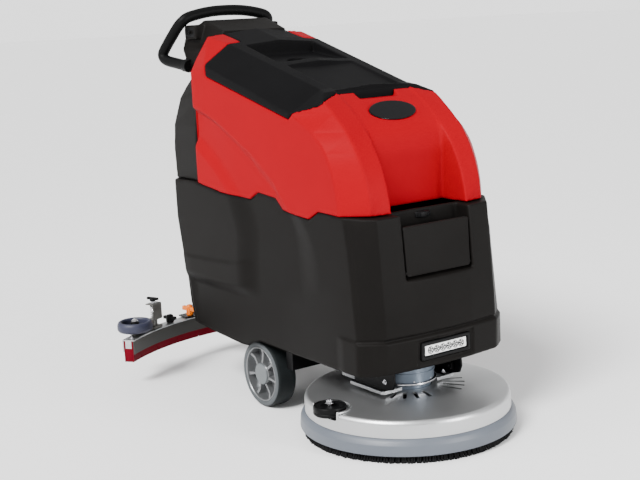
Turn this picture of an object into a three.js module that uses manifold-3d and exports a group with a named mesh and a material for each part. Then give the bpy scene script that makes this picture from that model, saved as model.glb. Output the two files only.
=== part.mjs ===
// Walk-behind floor scrubber: a disc scrubbing deck in front, a moulded solution tank on two drive
// wheels, a red recovery tank with a lid on top, a console with a loop handle and a lifted squeegee.
// Millimetres, +X forward, +Y to the machine's left, +Z up, floor at z = 0.
import * as THREE from 'three';
import { mergeVertices } from 'three/addons/utils/BufferGeometryUtils.js';
import Module from 'manifold-3d';

const wasm = await Module();
wasm.setup();

// ---------- driving dimensions ----------
const DECK_X = 333.5; // brush axis, measured from the middle of the machine's length
const GAP = 0.5; // clearance between pieces that touch

const DECK_RADIUS = 247;
const DECK_RIM_TOP = 98;
const DECK_RIM_BOTTOM = 58;
const DECK_DOME = 14; // height of the deck's middle over its rim
const SKIRT_RADIUS = 263;
const SKIRT_BOTTOM = 20;
const BRUSH_RADIUS = 258;
const MOTOR_RADIUS = 68;
const MOTOR_TOP = 232;

const BODY_HALF_WIDTH = 215;
const WELL_FLOOR = 275;
const JOINT_Z = 551; // where the recovery tank rests on the solution tank, at the front
const JOINT_SLOPE = 0.0345; // how that joint rises towards the rear
const COLUMN_FRONT = -602; // front face of the console column
const TANK_REAR = -598; // rear face of the recovery tank

const FILL_HINGE = { x: 130.5, z: 416 };

const WHEEL_X = -376;
const WHEEL_RADIUS = 87.5;
const WHEEL_WIDTH = 57;
const WHEEL_FACE_Y = 185;
const AXLE_RADIUS = 12;
const GEAR_CASE = { inner: 99, outer: 121, half: 24, top: 170.5 };
const DRIVE_MOTOR_Z = 156;

const CASTER_X = -600;
const CASTER_TRAIL = 25;
const CASTER_RADIUS = 37.5;

const RAIL_BOTTOM = 200;
const LINK_REAR_X = -240; // deck links' pivots on the frame
const LINK_FRONT_X = 52; // deck links' pivots on the deck
const LINK_LOWER_Z = 146;
const LINK_UPPER_Z = 182;
const LINK_Y = 94;
const PLATE_REAR = -78; // where the deck plate widens under its brackets

const SQUEEGEE_RADIUS = 600; // radius of the squeegee's curve
const SQUEEGEE_X = -300; // centre of that curve
const SQUEEGEE_REACH = 36.9 * Math.PI / 180; // half the angle that the squeegee spans
const SQUEEGEE_LIFT = 70; // how high the blades hang when lifted
const SWIVEL_X = -735;
const ARM_REAR_X = -715; // squeegee links' pivots on the carrier
const ARM_FRONT_X = -500; // squeegee links' pivots on the frame
const ARM_LOWER_Z = 146;
const ARM_UPPER_Z = 170;

const HANDLE_TUBE = 15;

// ---------- materials ----------
const finish = (color, roughness, metalness = 0) =>
  new THREE.MeshStandardMaterial({ color, roughness, metalness });
const BLACK_SHELL = () => finish(0x262422, 0.55);
const BLACK_METAL = () => finish(0x151515, 0.5, 0.4);
const BLACK_PLASTIC = () => finish(0x1b1b1c, 0.5);
const RED_SHELL = () => finish(0xe8202a, 0.35);
const SILVER = () => finish(0xb9babb, 0.35, 0.85);
const STEEL = () => finish(0x9a9c9e, 0.3, 0.9);
const GREY_RUBBER = () => finish(0x7f8890, 0.6);
const TYRE_GREY = () => finish(0x5b6263, 0.7);
const RED_RUBBER = () => finish(0x9c0f2a, 0.6);
const ORANGE = () => finish(0xf08a1c, 0.4);

// ---------- solids ----------
function toSolid(geometry) {
  const bare = geometry.clone();
  bare.deleteAttribute('normal');
  bare.deleteAttribute('uv');
  const merged = mergeVertices(bare, 1e-4);
  return new wasm.Manifold(new wasm.Mesh({
    numProp: 3,
    vertProperties: new Float32Array(merged.attributes.position.array),
    triVerts: new Uint32Array(merged.index.array),
  }));
}

function toGeometry(solid) {
  const mesh = solid.getMesh();
  const geometry = new THREE.BufferGeometry();
  geometry.setAttribute('position', new THREE.BufferAttribute(mesh.vertProperties, 3));
  geometry.setIndex(new THREE.BufferAttribute(mesh.triVerts, 1));
  geometry.computeVertexNormals();
  return geometry;
}

const join = (...solids) => solids.reduce((a, b) => a.add(b));
const cut = (base, ...tools) => tools.reduce((a, b) => a.subtract(b), base);

// A closed skin through rings of points that all have the same count.
function skin(rings, flat) {
  const count = rings[0].length;
  const points = rings.flat();
  const index = [];
  for (let ring = 0; ring + 1 < rings.length; ring++) {
    for (let i = 0; i < count; i++) {
      const next = (i + 1) % count;
      const [a, b] = [ring * count + i, ring * count + next];
      index.push(a, b, b + count, a, b + count, a + count);
    }
  }
  const last = (rings.length - 1) * count;
  for (const [a, b, c] of THREE.ShapeUtils.triangulateShape(flat[0], [])) {
    index.push(c, b, a);
  }
  for (const [a, b, c] of THREE.ShapeUtils.triangulateShape(flat[flat.length - 1], [])) {
    index.push(a + last, b + last, c + last);
  }
  const geometry = new THREE.BufferGeometry().setFromPoints(points);
  geometry.setIndex(index);
  return toSolid(geometry);
}

// Outlines are counter-clockwise: [x, y] seen from above, or [y, z] seen from the front.
function loft(levels, place) {
  const flat = levels.map(({ outline }) => outline.map(([u, v]) => new THREE.Vector2(u, v)));
  const rings = levels.map(({ at, outline }) => outline.map(([u, v]) => place(u, v, at)));
  return skin(rings, flat);
}
const loftUp = (levels) => loft(levels, (x, y, z) => new THREE.Vector3(x, y, z));
const loftForward = (levels) => loft(levels, (y, z, x) => new THREE.Vector3(x, y, z));

// The right half of an outline, rear to front, mirrored to the left.
function mirrored(half) {
  return [...half, ...half.map(([x, y]) => [x, -y]).reverse()];
}

const prismUp = (outline, bottom, top) => loftUp([bottom, top].map((at) => ({ at, outline })));

// A side profile of [x, z] points, counter-clockwise seen from the machine's right, made wide.
function prismAcross(profile, right, left) {
  const ring = (y) => profile.map(([x, z]) => new THREE.Vector3(x, y, z));
  const flat = profile.map(([x, z]) => new THREE.Vector2(x, z));
  return skin([ring(left), ring(right)], [flat, flat]);
}

function box(x0, x1, y0, y1, z0, z1) {
  const geometry = new THREE.BoxGeometry(x1 - x0, y1 - y0, z1 - z0);
  geometry.translate((x0 + x1) / 2, (y0 + y1) / 2, (z0 + z1) / 2);
  return toSolid(geometry);
}

// A body of revolution about a vertical axis; the profile is [radius, z], from bottom to top.
function turned(profile, segments = 32) {
  const points = profile.map(([radius, z]) => new THREE.Vector2(radius, z));
  const geometry = new THREE.LatheGeometry(points, segments);
  geometry.rotateX(Math.PI / 2);
  return toSolid(geometry);
}

const disc = (radius, bottom, top, segments = 32) =>
  turned([[0, bottom], [radius, bottom], [radius, top], [0, top]], segments);

const moved = (solid, x, y, z) => solid.translate([x, y, z]);
const turnedAside = (solid) => solid.rotate([-90, 0, 0]); // its axis goes from +Z to +Y
const leftCopy = (solid) => solid.mirror([0, 1, 0]);

function tube(points, radius, steps, sides = 10, tension = 0.5) {
  const path = new THREE.CatmullRomCurve3(points, false, 'catmullrom', tension);
  const section = new THREE.Shape();
  section.absarc(0, 0, radius, 0, Math.PI * 2);
  const geometry = new THREE.ExtrudeGeometry(section, {
    steps, extrudePath: path, curveSegments: sides / 2,
  });
  return toSolid(geometry);
}

// Part of an upright ring between two radii, bent about the vertical axis of the squeegee's curve.
function arcBand(inner, outer, bottom, top, reach = SQUEEGEE_REACH, segments = 24) {
  const points = [];
  for (let i = 0; i <= segments; i++) {
    const angle = reach * (2 * i / segments - 1);
    points.push([SQUEEGEE_X - inner * Math.cos(angle), inner * Math.sin(angle)]);
  }
  for (let i = segments; i >= 0; i--) {
    const angle = reach * (2 * i / segments - 1);
    points.push([SQUEEGEE_X - outer * Math.cos(angle), outer * Math.sin(angle)]);
  }
  return prismUp(points, bottom, top);
}

// ---------- the machine ----------
const machine = new THREE.Group();
machine.name = 'floor_scrubber';
machine.position.x = DECK_X;

function add(name, solid, material) {
  const mesh = new THREE.Mesh(toGeometry(solid), material);
  mesh.name = name;
  machine.add(mesh);
}

const jointAt = (x) => JOINT_Z + (54 - x) * JOINT_SLOPE;

// Plan outline of the lower body at one height: chamfered nose, rounded rear corners.
function bodyOutline(rear, side, corner, nose) {
  return mirrored([
    [rear, -160], [rear + 8, -190], [rear + 40, -BODY_HALF_WIDTH],
    [side, -BODY_HALF_WIDTH], [corner, -165], [nose, -85], [nose + 3, -20],
  ]);
}

function addSolutionTank() {
  const hull = loftUp([
    { at: 150, outline: bodyOutline(-690, 99, 136, 145) },
    { at: 235, outline: bodyOutline(-714, 98, 140, 149) },
    { at: 267, outline: bodyOutline(-718, 98, 141, 150) },
    { at: 335, outline: bodyOutline(-727, 90, 138, 147) },
    { at: 470, outline: bodyOutline(-754, 75, 127, 136) },
    { at: 580, outline: bodyOutline(-755, 55, 118, 126) },
  ]);
  const side = prismAcross([
    [-800, 190], [-705, 182], [-579, 170], [-430, 162], [-396, 164], [-376, 175], [-338, 187], [-180, 184],
    [60, 190], [160, 193],
    [160, 545], [54, jointAt(54)], [-610, jointAt(-610)], [-800, jointAt(-610)],
  ], -300, 300);
  const bay = prismUp(mirrored([[-690, -150], [-660, -200], [78, -200], [116, -150]]), 100, WELL_FLOOR - 10);
  const well = prismUp(mirrored([[-690, -150], [-660, -200], [40, -200], [72, -150]]), WELL_FLOOR, 700);
  const pocket = prismAcross([[82, 398], [104, 408], [200, 385], [200, 700], [82, 700]], -100, 100);
  const lampSeat = box(136, 200, -74, 74, 210, 254);
  const shell = cut(hull.intersect(side), bay, well, pocket, lampSeat);
  add('solution_tank', shell, BLACK_SHELL());
}

function addFillDoor() {
  const panel = prismAcross([[127, 410], [134, 410], [128, 520], [121, 520]], -92, 92);
  const pins = turnedAside(disc(3.5, -97, 97, 12));
  add('fill_door', join(panel, moved(pins, FILL_HINGE.x, 0, FILL_HINGE.z)), BLACK_SHELL());
}

function addHeadlight() {
  const frame = cut(box(137, 153, -73, 73, 211, 253), box(145, 170, -64, 64, 220, 247));
  add('headlight_housing', frame, BLACK_PLASTIC());
  add('headlight_lens', box(145 + GAP, 150, -63, 63, 221, 246), finish(0xf4f4f2, 0.2));
}

function addFrame() {
  const { inner, outer, top } = GEAR_CASE;
  const rail = box(-668, -256, 72, 98, RAIL_BOTTOM, 262);
  const frame = join(
    rail, leftCopy(rail),
    box(-284, -256, -160, 160, 118, 262),
    box(-668, -560, -98, 98, RAIL_BOTTOM, 262),
    box(WHEEL_X - 20, WHEEL_X + 20, inner, outer, top + GAP, 262),
    box(WHEEL_X - 20, WHEEL_X + 20, -outer, -inner, top + GAP, 262),
    box(WHEEL_X - 20, WHEEL_X + 20, -outer, outer, 240, 262),
    box(PEDAL.x - 10, -560, 97, 118, RAIL_BOTTOM, 212),
    box(PEDAL.x - 10, PEDAL.x + 10, 112, 118, PEDAL.z - 10, 212),
    moved(turnedAside(disc(5, 115, 136, 12)), PEDAL.x, 0, PEDAL.z),
  );
  const forkY = LINK_Y - 11;
  const forks = join(...[-1, 1].flatMap((hand) => [
    box(-257, LINK_REAR_X + 10, hand * forkY - 4, hand * forkY + 4, 130, 200),
    box(-512, -488, hand * 62 - 4, hand * 62 + 4, 134, RAIL_BOTTOM + 5),
    box(-512, -488, hand * 66 - 8, hand * 66 + 12, RAIL_BOTTOM, RAIL_BOTTOM + 8),
  ]));
  const pins = join(
    moved(turnedAside(disc(5, -LINK_Y - 4, LINK_Y + 4, 12)), LINK_REAR_X, 0, LINK_LOWER_Z),
    moved(turnedAside(disc(5, -LINK_Y - 4, LINK_Y + 4, 12)), LINK_REAR_X, 0, LINK_UPPER_Z),
  );
  add('chassis_frame', join(frame, forks, pins), BLACK_METAL());
}

// A motor across the machine, with a gear case at each end that carries a stub axle.
function addDrive() {
  const { inner, outer, half, top } = GEAR_CASE;
  const can = join(disc(36, GAP - inner, inner - GAP, 24), disc(AXLE_RADIUS, -inner - 1, inner + 1, 16));
  const motor = moved(turnedAside(can), WHEEL_X, 0, DRIVE_MOTOR_Z);
  const gearCase = box(WHEEL_X - half, WHEEL_X + half, inner, outer, 66, top);
  const stub = disc(AXLE_RADIUS, outer - 1, WHEEL_FACE_Y - 12, 16);
  const side = join(gearCase, moved(turnedAside(stub), WHEEL_X, 0, WHEEL_RADIUS));
  add('transaxle', join(motor, side, leftCopy(side)), STEEL());
}

function addBatteries() {
  const battery = box(-560, -230, 6, 178, WELL_FLOOR + GAP, 488);
  const posts = join(...[-535, -255].map((x) => moved(disc(9, 487, 500, 12), x, 40, 0)));
  add('battery_left', join(battery, posts), finish(0x30363c, 0.5));
  add('battery_right', leftCopy(join(battery, posts)), finish(0x30363c, 0.5));
}

function addWheels() {
  const half = WHEEL_WIDTH / 2;
  const centre = WHEEL_FACE_Y - half;
  const tyre = turned([
    [62, -half], [WHEEL_RADIUS - 5, -half], [WHEEL_RADIUS, -half + 6], [WHEEL_RADIUS, half - 6],
    [WHEEL_RADIUS - 5, half], [62, half], [62, -half],
  ], 32);
  const rim = turned([[13, -half + 4], [24, -half + 4], [24, -6], [52, -6], [52, -half + 2], [61.5, -half + 2],
    [61.5, half - 2], [52, half - 2], [52, 6], [24, 6], [24, half - 4], [13, half - 4], [13, -half + 4]], 20);
  const spokes = join(...Array.from({ length: 8 }, (_, i) =>
    box(18, 56, -3.5, 3.5, 0, half - 5).rotate([0, 0, i * 45])));
  const cap = turned([[0, half - 8], [22, half - 8], [22, half - 2], [18, half], [0, half]], 20);
  const rimSolid = join(rim, spokes, cap);
  const upright = (solid) => moved(turnedAside(solid), WHEEL_X, centre, WHEEL_RADIUS);
  for (const [side, place] of [['left', upright], ['right', (s) => leftCopy(upright(s))]]) {
    add(`tyre_${side}`, place(tyre), TYRE_GREY());
    add(`rim_${side}`, place(rimSolid), SILVER());
  }
}

function addCaster() {
  const wheelX = CASTER_X - CASTER_TRAIL;
  const cheek = prismAcross([
    [CASTER_X - 22, 92], [wheelX - 10, 34], [wheelX + 10, 30], [CASTER_X + 24, 92],
  ], 15, 19);
  const fork = join(
    cheek, leftCopy(cheek),
    box(CASTER_X - 22, CASTER_X + 24, -19, 19, 88, 94),
    moved(disc(16, 92, 190, 20), CASTER_X, 0, 0),
    moved(disc(30, 188, RAIL_BOTTOM - GAP, 24), CASTER_X, 0, 0),
    moved(turnedAside(disc(5, -17, 17, 12)), wheelX, 0, CASTER_RADIUS),
  );
  add('caster_fork', fork, STEEL());
  const wheel = turned([[5.6, -12], [CASTER_RADIUS - 3, -12], [CASTER_RADIUS, -8], [CASTER_RADIUS, 8],
    [CASTER_RADIUS - 3, 12], [5.6, 12], [5.6, -12]], 24);
  add('caster_wheel', moved(turnedAside(wheel), wheelX, 0, CASTER_RADIUS), BLACK_PLASTIC());
}

// ---------- scrubbing deck ----------
const deckTop = (radius) => DECK_RIM_TOP + DECK_DOME * (1 - (radius / DECK_RADIUS) ** 2);
const DECK_SLOTS = [
  { middle: -34, pitch: 15.3, inner: 78, outer: 119 },
  { middle: 47.5, pitch: 12.5, inner: 86, outer: 140 },
];
const ROLLER_SEAT = { x: 4, y: -233, radius: 46, floor: 80 };

function addDeckCover() {
  const rimCurve = [
    [DECK_RADIUS + 3, DECK_RIM_BOTTOM], [DECK_RADIUS + 1, 92], [DECK_RADIUS - 6, DECK_RIM_TOP + 1],
  ];
  const rings = [180, 110];
  const outside = rings.map((radius) => [radius, deckTop(radius)]);
  const inside = [...rings].reverse().map((radius) => [radius, deckTop(radius) - 6]);
  const cover = turned([
    ...rimCurve, ...outside, [60, deckTop(60)], [60, deckTop(60) - 6], ...inside,
    [DECK_RADIUS - 4, 88], [DECK_RADIUS - 4, DECK_RIM_BOTTOM], [DECK_RADIUS + 3, DECK_RIM_BOTTOM],
  ], 40);
  const { x, y, radius, floor } = ROLLER_SEAT;
  const seat = moved(disc(radius, floor, 130, 28), x, y, 0);
  const cup = moved(disc(radius + 3, floor - 5, 97, 28), x, y, 0).intersect(disc(DECK_RADIUS + 3, 60, 130, 40));
  const slots = [];
  for (const { middle, pitch, inner, outer } of DECK_SLOTS) {
    for (let i = 0; i < 4; i++) {
      slots.push(box(inner, outer, -3, 3, 80, 140).rotate([0, 0, middle + (i - 1.5) * pitch]));
    }
  }
  const pin = moved(disc(4.4, floor - 2, floor + 34, 12), x, y, 0);
  add('deck_cover', join(cut(join(cover, cup), seat, ...slots), pin), SILVER());
}

function addDeckSkirt() {
  const skirt = turned([
    [SKIRT_RADIUS - 4, SKIRT_BOTTOM], [SKIRT_RADIUS, SKIRT_BOTTOM], [SKIRT_RADIUS - 2, 42], [SKIRT_RADIUS - 7, 50],
    [DECK_RADIUS + 4, 56], [DECK_RADIUS - 2, 57.5], [DECK_RADIUS - 2, 50], [SKIRT_RADIUS - 12, 46],
    [SKIRT_RADIUS - 7, 40], [SKIRT_RADIUS - 4, SKIRT_BOTTOM],
  ], 40);
  add('deck_skirt', skirt, GREY_RUBBER());
}

function addDeckMounts() {
  const [plateBottom, plateTop] = [114.5, 122];
  const outline = mirrored([
    [-150, -84], [PLATE_REAR, -84], [PLATE_REAR, -112], [44, -112], [50, -106], [50, -78],
  ]);
  const plate = cut(prismUp(outline, plateBottom, plateTop), disc(MOTOR_RADIUS + 6, 100, 140));
  add('deck_plate', plate, STEEL());
  const base = plateTop + GAP;
  const flange = prismAcross([
    [-70, base], [46, base], [78, 132], [86, 150], [82, 196], [34, 196], [20, 150], [-70, 140],
  ], LINK_Y + 6.5, LINK_Y + 11);
  const foot = box(-70, 46, LINK_Y - 14, LINK_Y + 8, base, plateTop + 4);
  const pins = [LINK_LOWER_Z, LINK_UPPER_Z].map((z) =>
    moved(turnedAside(disc(5, LINK_Y - 8, LINK_Y + 10, 12)), LINK_FRONT_X, 0, z));
  const bracket = join(flange, foot, ...pins);
  add('deck_bracket_left', bracket, BLACK_METAL());
  add('deck_bracket_right', leftCopy(bracket), BLACK_METAL());
}

function addBrushMotor() {
  const motor = turned([
    [0, 84], [14, 84], [14, 100], [59, 100], [59, 123], [MOTOR_RADIUS + 5, 123], [MOTOR_RADIUS + 5, 128],
    [MOTOR_RADIUS, 130], [MOTOR_RADIUS, 222], [MOTOR_RADIUS - 8, MOTOR_TOP], [0, MOTOR_TOP],
  ], 28);
  add('brush_motor', motor, finish(0x77808a, 0.4, 0.6));
}

function addBrush() {
  const block = turned([[20, 44], [236, 44], [236, 62], [60, 66], [40, 82], [20, 82], [20, 44]], 32);
  add('brush_block', block, finish(0x3a3a3c, 0.6));
  const bristles = turned([[150, 0], [BRUSH_RADIUS - 4, 0], [BRUSH_RADIUS, 8], [BRUSH_RADIUS - 26, 43.5],
    [150, 43.5], [150, 0]], 40);
  add('brush_bristles', bristles, finish(0x141414, 0.9));
}

function addBumperRoller() {
  const { x, y, floor } = ROLLER_SEAT;
  const roller = turned([[5, floor + 4], [36, floor + 4], [39, floor + 8], [39, floor + 13], [37, floor + 15],
    [39, floor + 17], [39, floor + 24], [36, floor + 28], [5, floor + 28], [5, floor + 4]], 20);
  add('bumper_roller', moved(roller, x, y, 0), BLACK_PLASTIC());
}

// A pair of bars joined by a cross tube at their rear ends.
function linkPair(x0, z, x1, y, width, height, crossAt) {
  const bar = cut(
    box(x0 - 9, x1 + 9, y - width / 2, y + width / 2, z - height / 2, z + height / 2),
    moved(turnedAside(disc(5.6, y - 20, y + 20, 12)), x0, 0, z),
    moved(turnedAside(disc(5.6, y - 20, y + 20, 12)), x1, 0, z),
  );
  const cross = box(crossAt - 5, crossAt + 5, -y, y, z - height / 2, z + height / 2);
  return join(bar, leftCopy(bar), cross);
}

function addDeckLinks() {
  const link = (z) => linkPair(LINK_REAR_X, z, LINK_FRONT_X, LINK_Y, 8, 16, LINK_REAR_X + 50);
  add('deck_lower_link', link(LINK_LOWER_Z), BLACK_METAL());
  add('deck_upper_link', link(LINK_UPPER_Z), BLACK_METAL());
}

// ---------- squeegee ----------
const BLADE_TOP = SQUEEGEE_LIFT + 60;
const PLATE_TOP = BLADE_TOP + 3;

function addSqueegeeLinks() {
  const pinsAt = (x, z, reach) => moved(turnedAside(disc(5, -reach, reach, 12)), x, 0, z);
  const link = (z) => linkPair(ARM_REAR_X, z, ARM_FRONT_X, 74, 8, 12, ARM_REAR_X + 30);
  add('squeegee_lower_arm', link(ARM_LOWER_Z), BLACK_METAL());
  add('squeegee_upper_arm', link(ARM_UPPER_Z), BLACK_METAL());
  const carrier = join(
    box(ARM_REAR_X - 34, ARM_REAR_X - 12, -62, 62, PLATE_TOP + 8, 178),
    box(ARM_REAR_X - 34, ARM_REAR_X + 10, 60, 68, PLATE_TOP + 5, 178),
    box(ARM_REAR_X - 34, ARM_REAR_X + 10, -68, -60, PLATE_TOP + 5, 178),
    pinsAt(ARM_REAR_X, ARM_LOWER_Z, 78), pinsAt(ARM_REAR_X, ARM_UPPER_Z, 78),
    moved(disc(10, PLATE_TOP - 10, 150, 20), SWIVEL_X, 0, 0),
  );
  add('squeegee_carrier', carrier, BLACK_METAL());
}

// A point on the squeegee's curve, `angle` degrees to the left of its middle.
function onCurve(angle, radius = SQUEEGEE_RADIUS) {
  const turn = angle * Math.PI / 180;
  return [SQUEEGEE_X - radius * Math.cos(turn), radius * Math.sin(turn)];
}

function addBlades() {
  const [frontBlade, rearBlade] = [588, 612];
  const slots = [];
  for (let angle = -33; angle <= 33; angle += 6) {
    const [x, y] = onCurve(angle, frontBlade + 2);
    slots.push(moved(box(-6, 6, -1.5, 1.5, 60, SQUEEGEE_LIFT + 8).rotate([0, 0, -angle]), x, y, 0));
  }
  add('front_blade', cut(arcBand(frontBlade, frontBlade + 4, SQUEEGEE_LIFT, BLADE_TOP), ...slots), RED_RUBBER());
  const ends = [-1, 1].map((hand) => {
    const angle = hand * (SQUEEGEE_REACH * 180 / Math.PI - 0.2);
    const wall = box(-11, 9.5, -1.5, 1.5, SQUEEGEE_LIFT, 107.5).rotate([0, 0, -angle]);
    return moved(wall, ...onCurve(angle, rearBlade - 10), 0);
  });
  const rear = join(arcBand(rearBlade, rearBlade + 4, SQUEEGEE_LIFT, BLADE_TOP), ...ends);
  add('rear_blade', rear, RED_RUBBER());
  add('squeegee_front_band', arcBand(frontBlade - 4.5, frontBlade - GAP, 92, BLADE_TOP), finish(0x4c4d4c, 0.5));
  const channel = join(
    arcBand(frontBlade - 6, rearBlade + 8, BLADE_TOP + GAP, PLATE_TOP),
    arcBand(frontBlade + 4.5, rearBlade - GAP, 108, BLADE_TOP + 1),
    arcBand(rearBlade + 4.5, rearBlade + 8, 98, BLADE_TOP + 1),
  );
  const [portX] = onCurve(0);
  add('squeegee_channel', cut(channel, box(portX - 8, portX + 8, -30, 30, 90, 140)), STEEL());
}

function addYokeAndPort() {
  const [portX] = onCurve(0);
  const plate = prismUp(mirrored([
    [portX - 26, -60], [portX - 22, -125], [portX + 22, -125], [portX + 40, -62],
    [SWIVEL_X - 18, -40], [SWIVEL_X + 12, -18], [SWIVEL_X + 18, -6],
  ]), PLATE_TOP + GAP, PLATE_TOP + 4.5);
  const holes = [moved(disc(31, 100, 200, 24), portX, 0, 0), moved(disc(10.6, 100, 200, 20), SWIVEL_X, 0, 0)];
  add('squeegee_yoke', cut(plate, ...holes), BLACK_METAL());
  const port = turned([[19, 0], [30, 0], [30, 4], [23, 6], [23, 52], [19, 52], [19, 0]], 24);
  add('suction_port', moved(port, portX, 0, PLATE_TOP + GAP), BLACK_PLASTIC());
}

const KNOBS = { wing: { angle: 9.9 }, clamp: { angle: 17.5 }, height: { angle: 23.9 } };
const ROLLER_X = -820;
const ROLLER_Y = 318;

function wingNut(radius, wing, height, half) {
  return join(disc(radius, 0, height, 16), box(-wing, wing, -half, half, height * 0.4, height * 0.8));
}

function addSqueegeeFittings() {
  const at = (solid, angle, z) => moved(solid.rotate([0, 0, -angle]), ...onCurve(angle), z);
  const height = KNOBS.height.angle;
  const bracketBase = PLATE_TOP + GAP;
  const clip = cut(box(-13, 15, -19, 19, 26, 74), box(-20, 12, -30, 30, 29, 71));
  const bracket = cut(join(clip, disc(9, 0, 28, 16), box(-13, 15, -19, 19, 0, 9)), disc(5.6, 2, 90, 16));
  const [bracketX, bracketY] = onCurve(height);
  const armAngle = Math.atan2(ROLLER_Y - bracketY, ROLLER_X - bracketX) * 180 / Math.PI;
  const arm = box(4, Math.hypot(ROLLER_Y - bracketY, ROLLER_X - bracketX) + 12, -12, 12, 0, 9);
  const spindle = moved(disc(5, 0, 46, 16), ROLLER_X, ROLLER_Y, bracketBase);
  const endBracket = join(
    at(bracket, height, bracketBase),
    moved(cut(arm, disc(5.6, 2, 90, 16)).rotate([0, 0, armAngle]), bracketX, bracketY, bracketBase),
    spindle,
  );
  const roller = turned([[5.6, 0], [30, 0], [46, 2], [50, 7], [50, 23], [46, 30], [38, 31], [34, 22], [12, 22],
    [12, 29], [5.6, 29], [5.6, 0]], 20);
  const heightKnob = join(disc(5, 3 - 74, 4, 12), disc(9, 0.5, 12, 12), box(-20, 20, -4, 4, 8, 17));
  const parts = {
    end_bracket: [endBracket, STEEL()],
    end_roller: [moved(roller, ROLLER_X, ROLLER_Y, bracketBase + 10), finish(0x4c4c60, 0.5)],
    height_knob: [at(heightKnob, height, bracketBase + 74), BLACK_METAL()],
    clamp_knob: [at(wingNut(9, 22, 20, 5), KNOBS.clamp.angle, PLATE_TOP + GAP), BLACK_PLASTIC()],
    wing_knob: [at(wingNut(10, 30, 32, 6), KNOBS.wing.angle, PLATE_TOP + 5), ORANGE()],
  };
  for (const [name, [solid, material]] of Object.entries(parts)) {
    add(`${name}_left`, solid, material);
    add(`${name}_right`, leftCopy(solid), material);
  }
}

// ---------- recovery tank and lid ----------
// Where the nose of the recovery tank lies at one height: its side edge, corner, rib and recess.
const TANK_NOSE = [
  { at: JOINT_Z - 4, nose: [49, 101, 109, 30] },
  { at: 600, nose: [43, 95, 99, 31] },
  { at: 645, nose: [30, 82, 84, 33] },
  { at: 690, nose: [7, 60, 60, 34] },
  { at: 735, nose: [-40, 25, 22, 18] },
  { at: 775, nose: [-120, -22, -22, -25] },
  { at: 800, nose: [-120, -58, -58, -62] },
  { at: 820, nose: [-120, -92, -90, -96] },
  { at: 985, nose: [-120, -92, -90, -96] },
];
const TOP_SLOPE = 0.293;
const crownAt = (x) => 832 + (-121 - x) * TOP_SLOPE;
const seatAt = (x) => 761 + (-138 - x) * 0.2514;

function upperEnvelope() {
  const half = BODY_HALF_WIDTH - 0.5;
  const body = loftUp(TANK_NOSE.map(({ at, nose: [side, corner, rib, recess] }) => ({
    at,
    outline: mirrored([
      [TANK_REAR, -190], [TANK_REAR + 10, -half], [side, -half], [corner, -165], [rib, -111], [recess, -104],
    ]),
  })));
  const section = (edge, shoulderY, shoulder, crown) => [
    [-half, 500], [half, 500], [half, edge], [shoulderY, shoulder], [0, crown], [-shoulderY, shoulder], [-half, edge],
  ];
  const top = loftForward([
    { at: TANK_REAR - 1, outline: section(862, 150, 955, 971) },
    { at: -512, outline: section(886, 140, 935, crownAt(-512)) },
    { at: -121, outline: section(777, 130, 825, crownAt(-121)) },
    { at: -50, outline: section(772, 150, 812, 825) },
    { at: 130, outline: section(772, 150, 812, 825) },
  ]);
  return body.intersect(top);
}

function lidRegion(clear) {
  const above = prismAcross([
    [-700, seatAt(-700) + clear], [-138, seatAt(-138) + clear], [-121, 775 + clear], [-40, 790 + clear],
    [-40, 1050], [-700, 1050],
  ], -300, 300);
  const plan = prismUp(mirrored([
    [-598 + clear, -100 + clear], [-514 + clear, -100 + clear], [-512 + clear, -216], [-125 - clear, -216],
    [-60 - clear, -168], [-85 - clear, -111],
  ]), 700, 1050);
  return above.intersect(plan);
}

function addRecoveryTank(envelope) {
  const inside = prismAcross([
    [-580, 588], [18, 566], [18, 690], [-28, 732], [-115, 752], [-115, 1050], [-504, 1050], [-504, 846],
    [-580, 846],
  ], -196, 196);
  const fingerGap = box(-92, -52, -58, 58, 798, 900);
  const below = prismAcross([
    [-610, 500], [130, 500], [130, JOINT_Z + GAP], [54, JOINT_Z + GAP], [-610, jointAt(-610) + GAP],
  ], -300, 300);
  add('recovery_tank', cut(envelope, below, lidRegion(0), inside, fingerGap), RED_SHELL());
}

function addLid(envelope) {
  const solid = envelope.intersect(lidRegion(1));
  const tray = (rear, rearZ, front, frontZ, half) =>
    prismAcross([[rear, rearZ], [front, frontZ], [front, 1050], [rear, 1050]], -half, half);
  const frontTray = tray(-300, crownAt(-300) - 11, -103, crownAt(-103) - 11, 98);
  const rearTray = tray(-480, 899, -326, 878, 105);
  const vent = moved(disc(42, 858, 950, 28), -375, 0, 0);
  const below = prismAcross([
    [-500, seatAt(-500) - 50], [-145, seatAt(-145) - 50], [-145, seatAt(-145) + 22], [-500, seatAt(-500) + 22],
  ], -165, 165);
  add('lid', cut(solid, frontTray, rearTray, vent, below), BLACK_SHELL());
}

function addBadge() {
  const badge = disc(1, 0, 4, 40).scale([30, 67, 1]);
  add('badge_plate', moved(badge.rotate([0, 43, 0]), -3.5 + 0.6, 0, 755 + 0.6), BLACK_PLASTIC());
}

function addFloatFilter() {
  const cage = join(disc(34, 700, 838, 20), disc(22, 830, seatAt(-426) + 21, 20));
  add('float_filter', moved(cage, -450, 60, 0), BLACK_PLASTIC());
}

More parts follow.
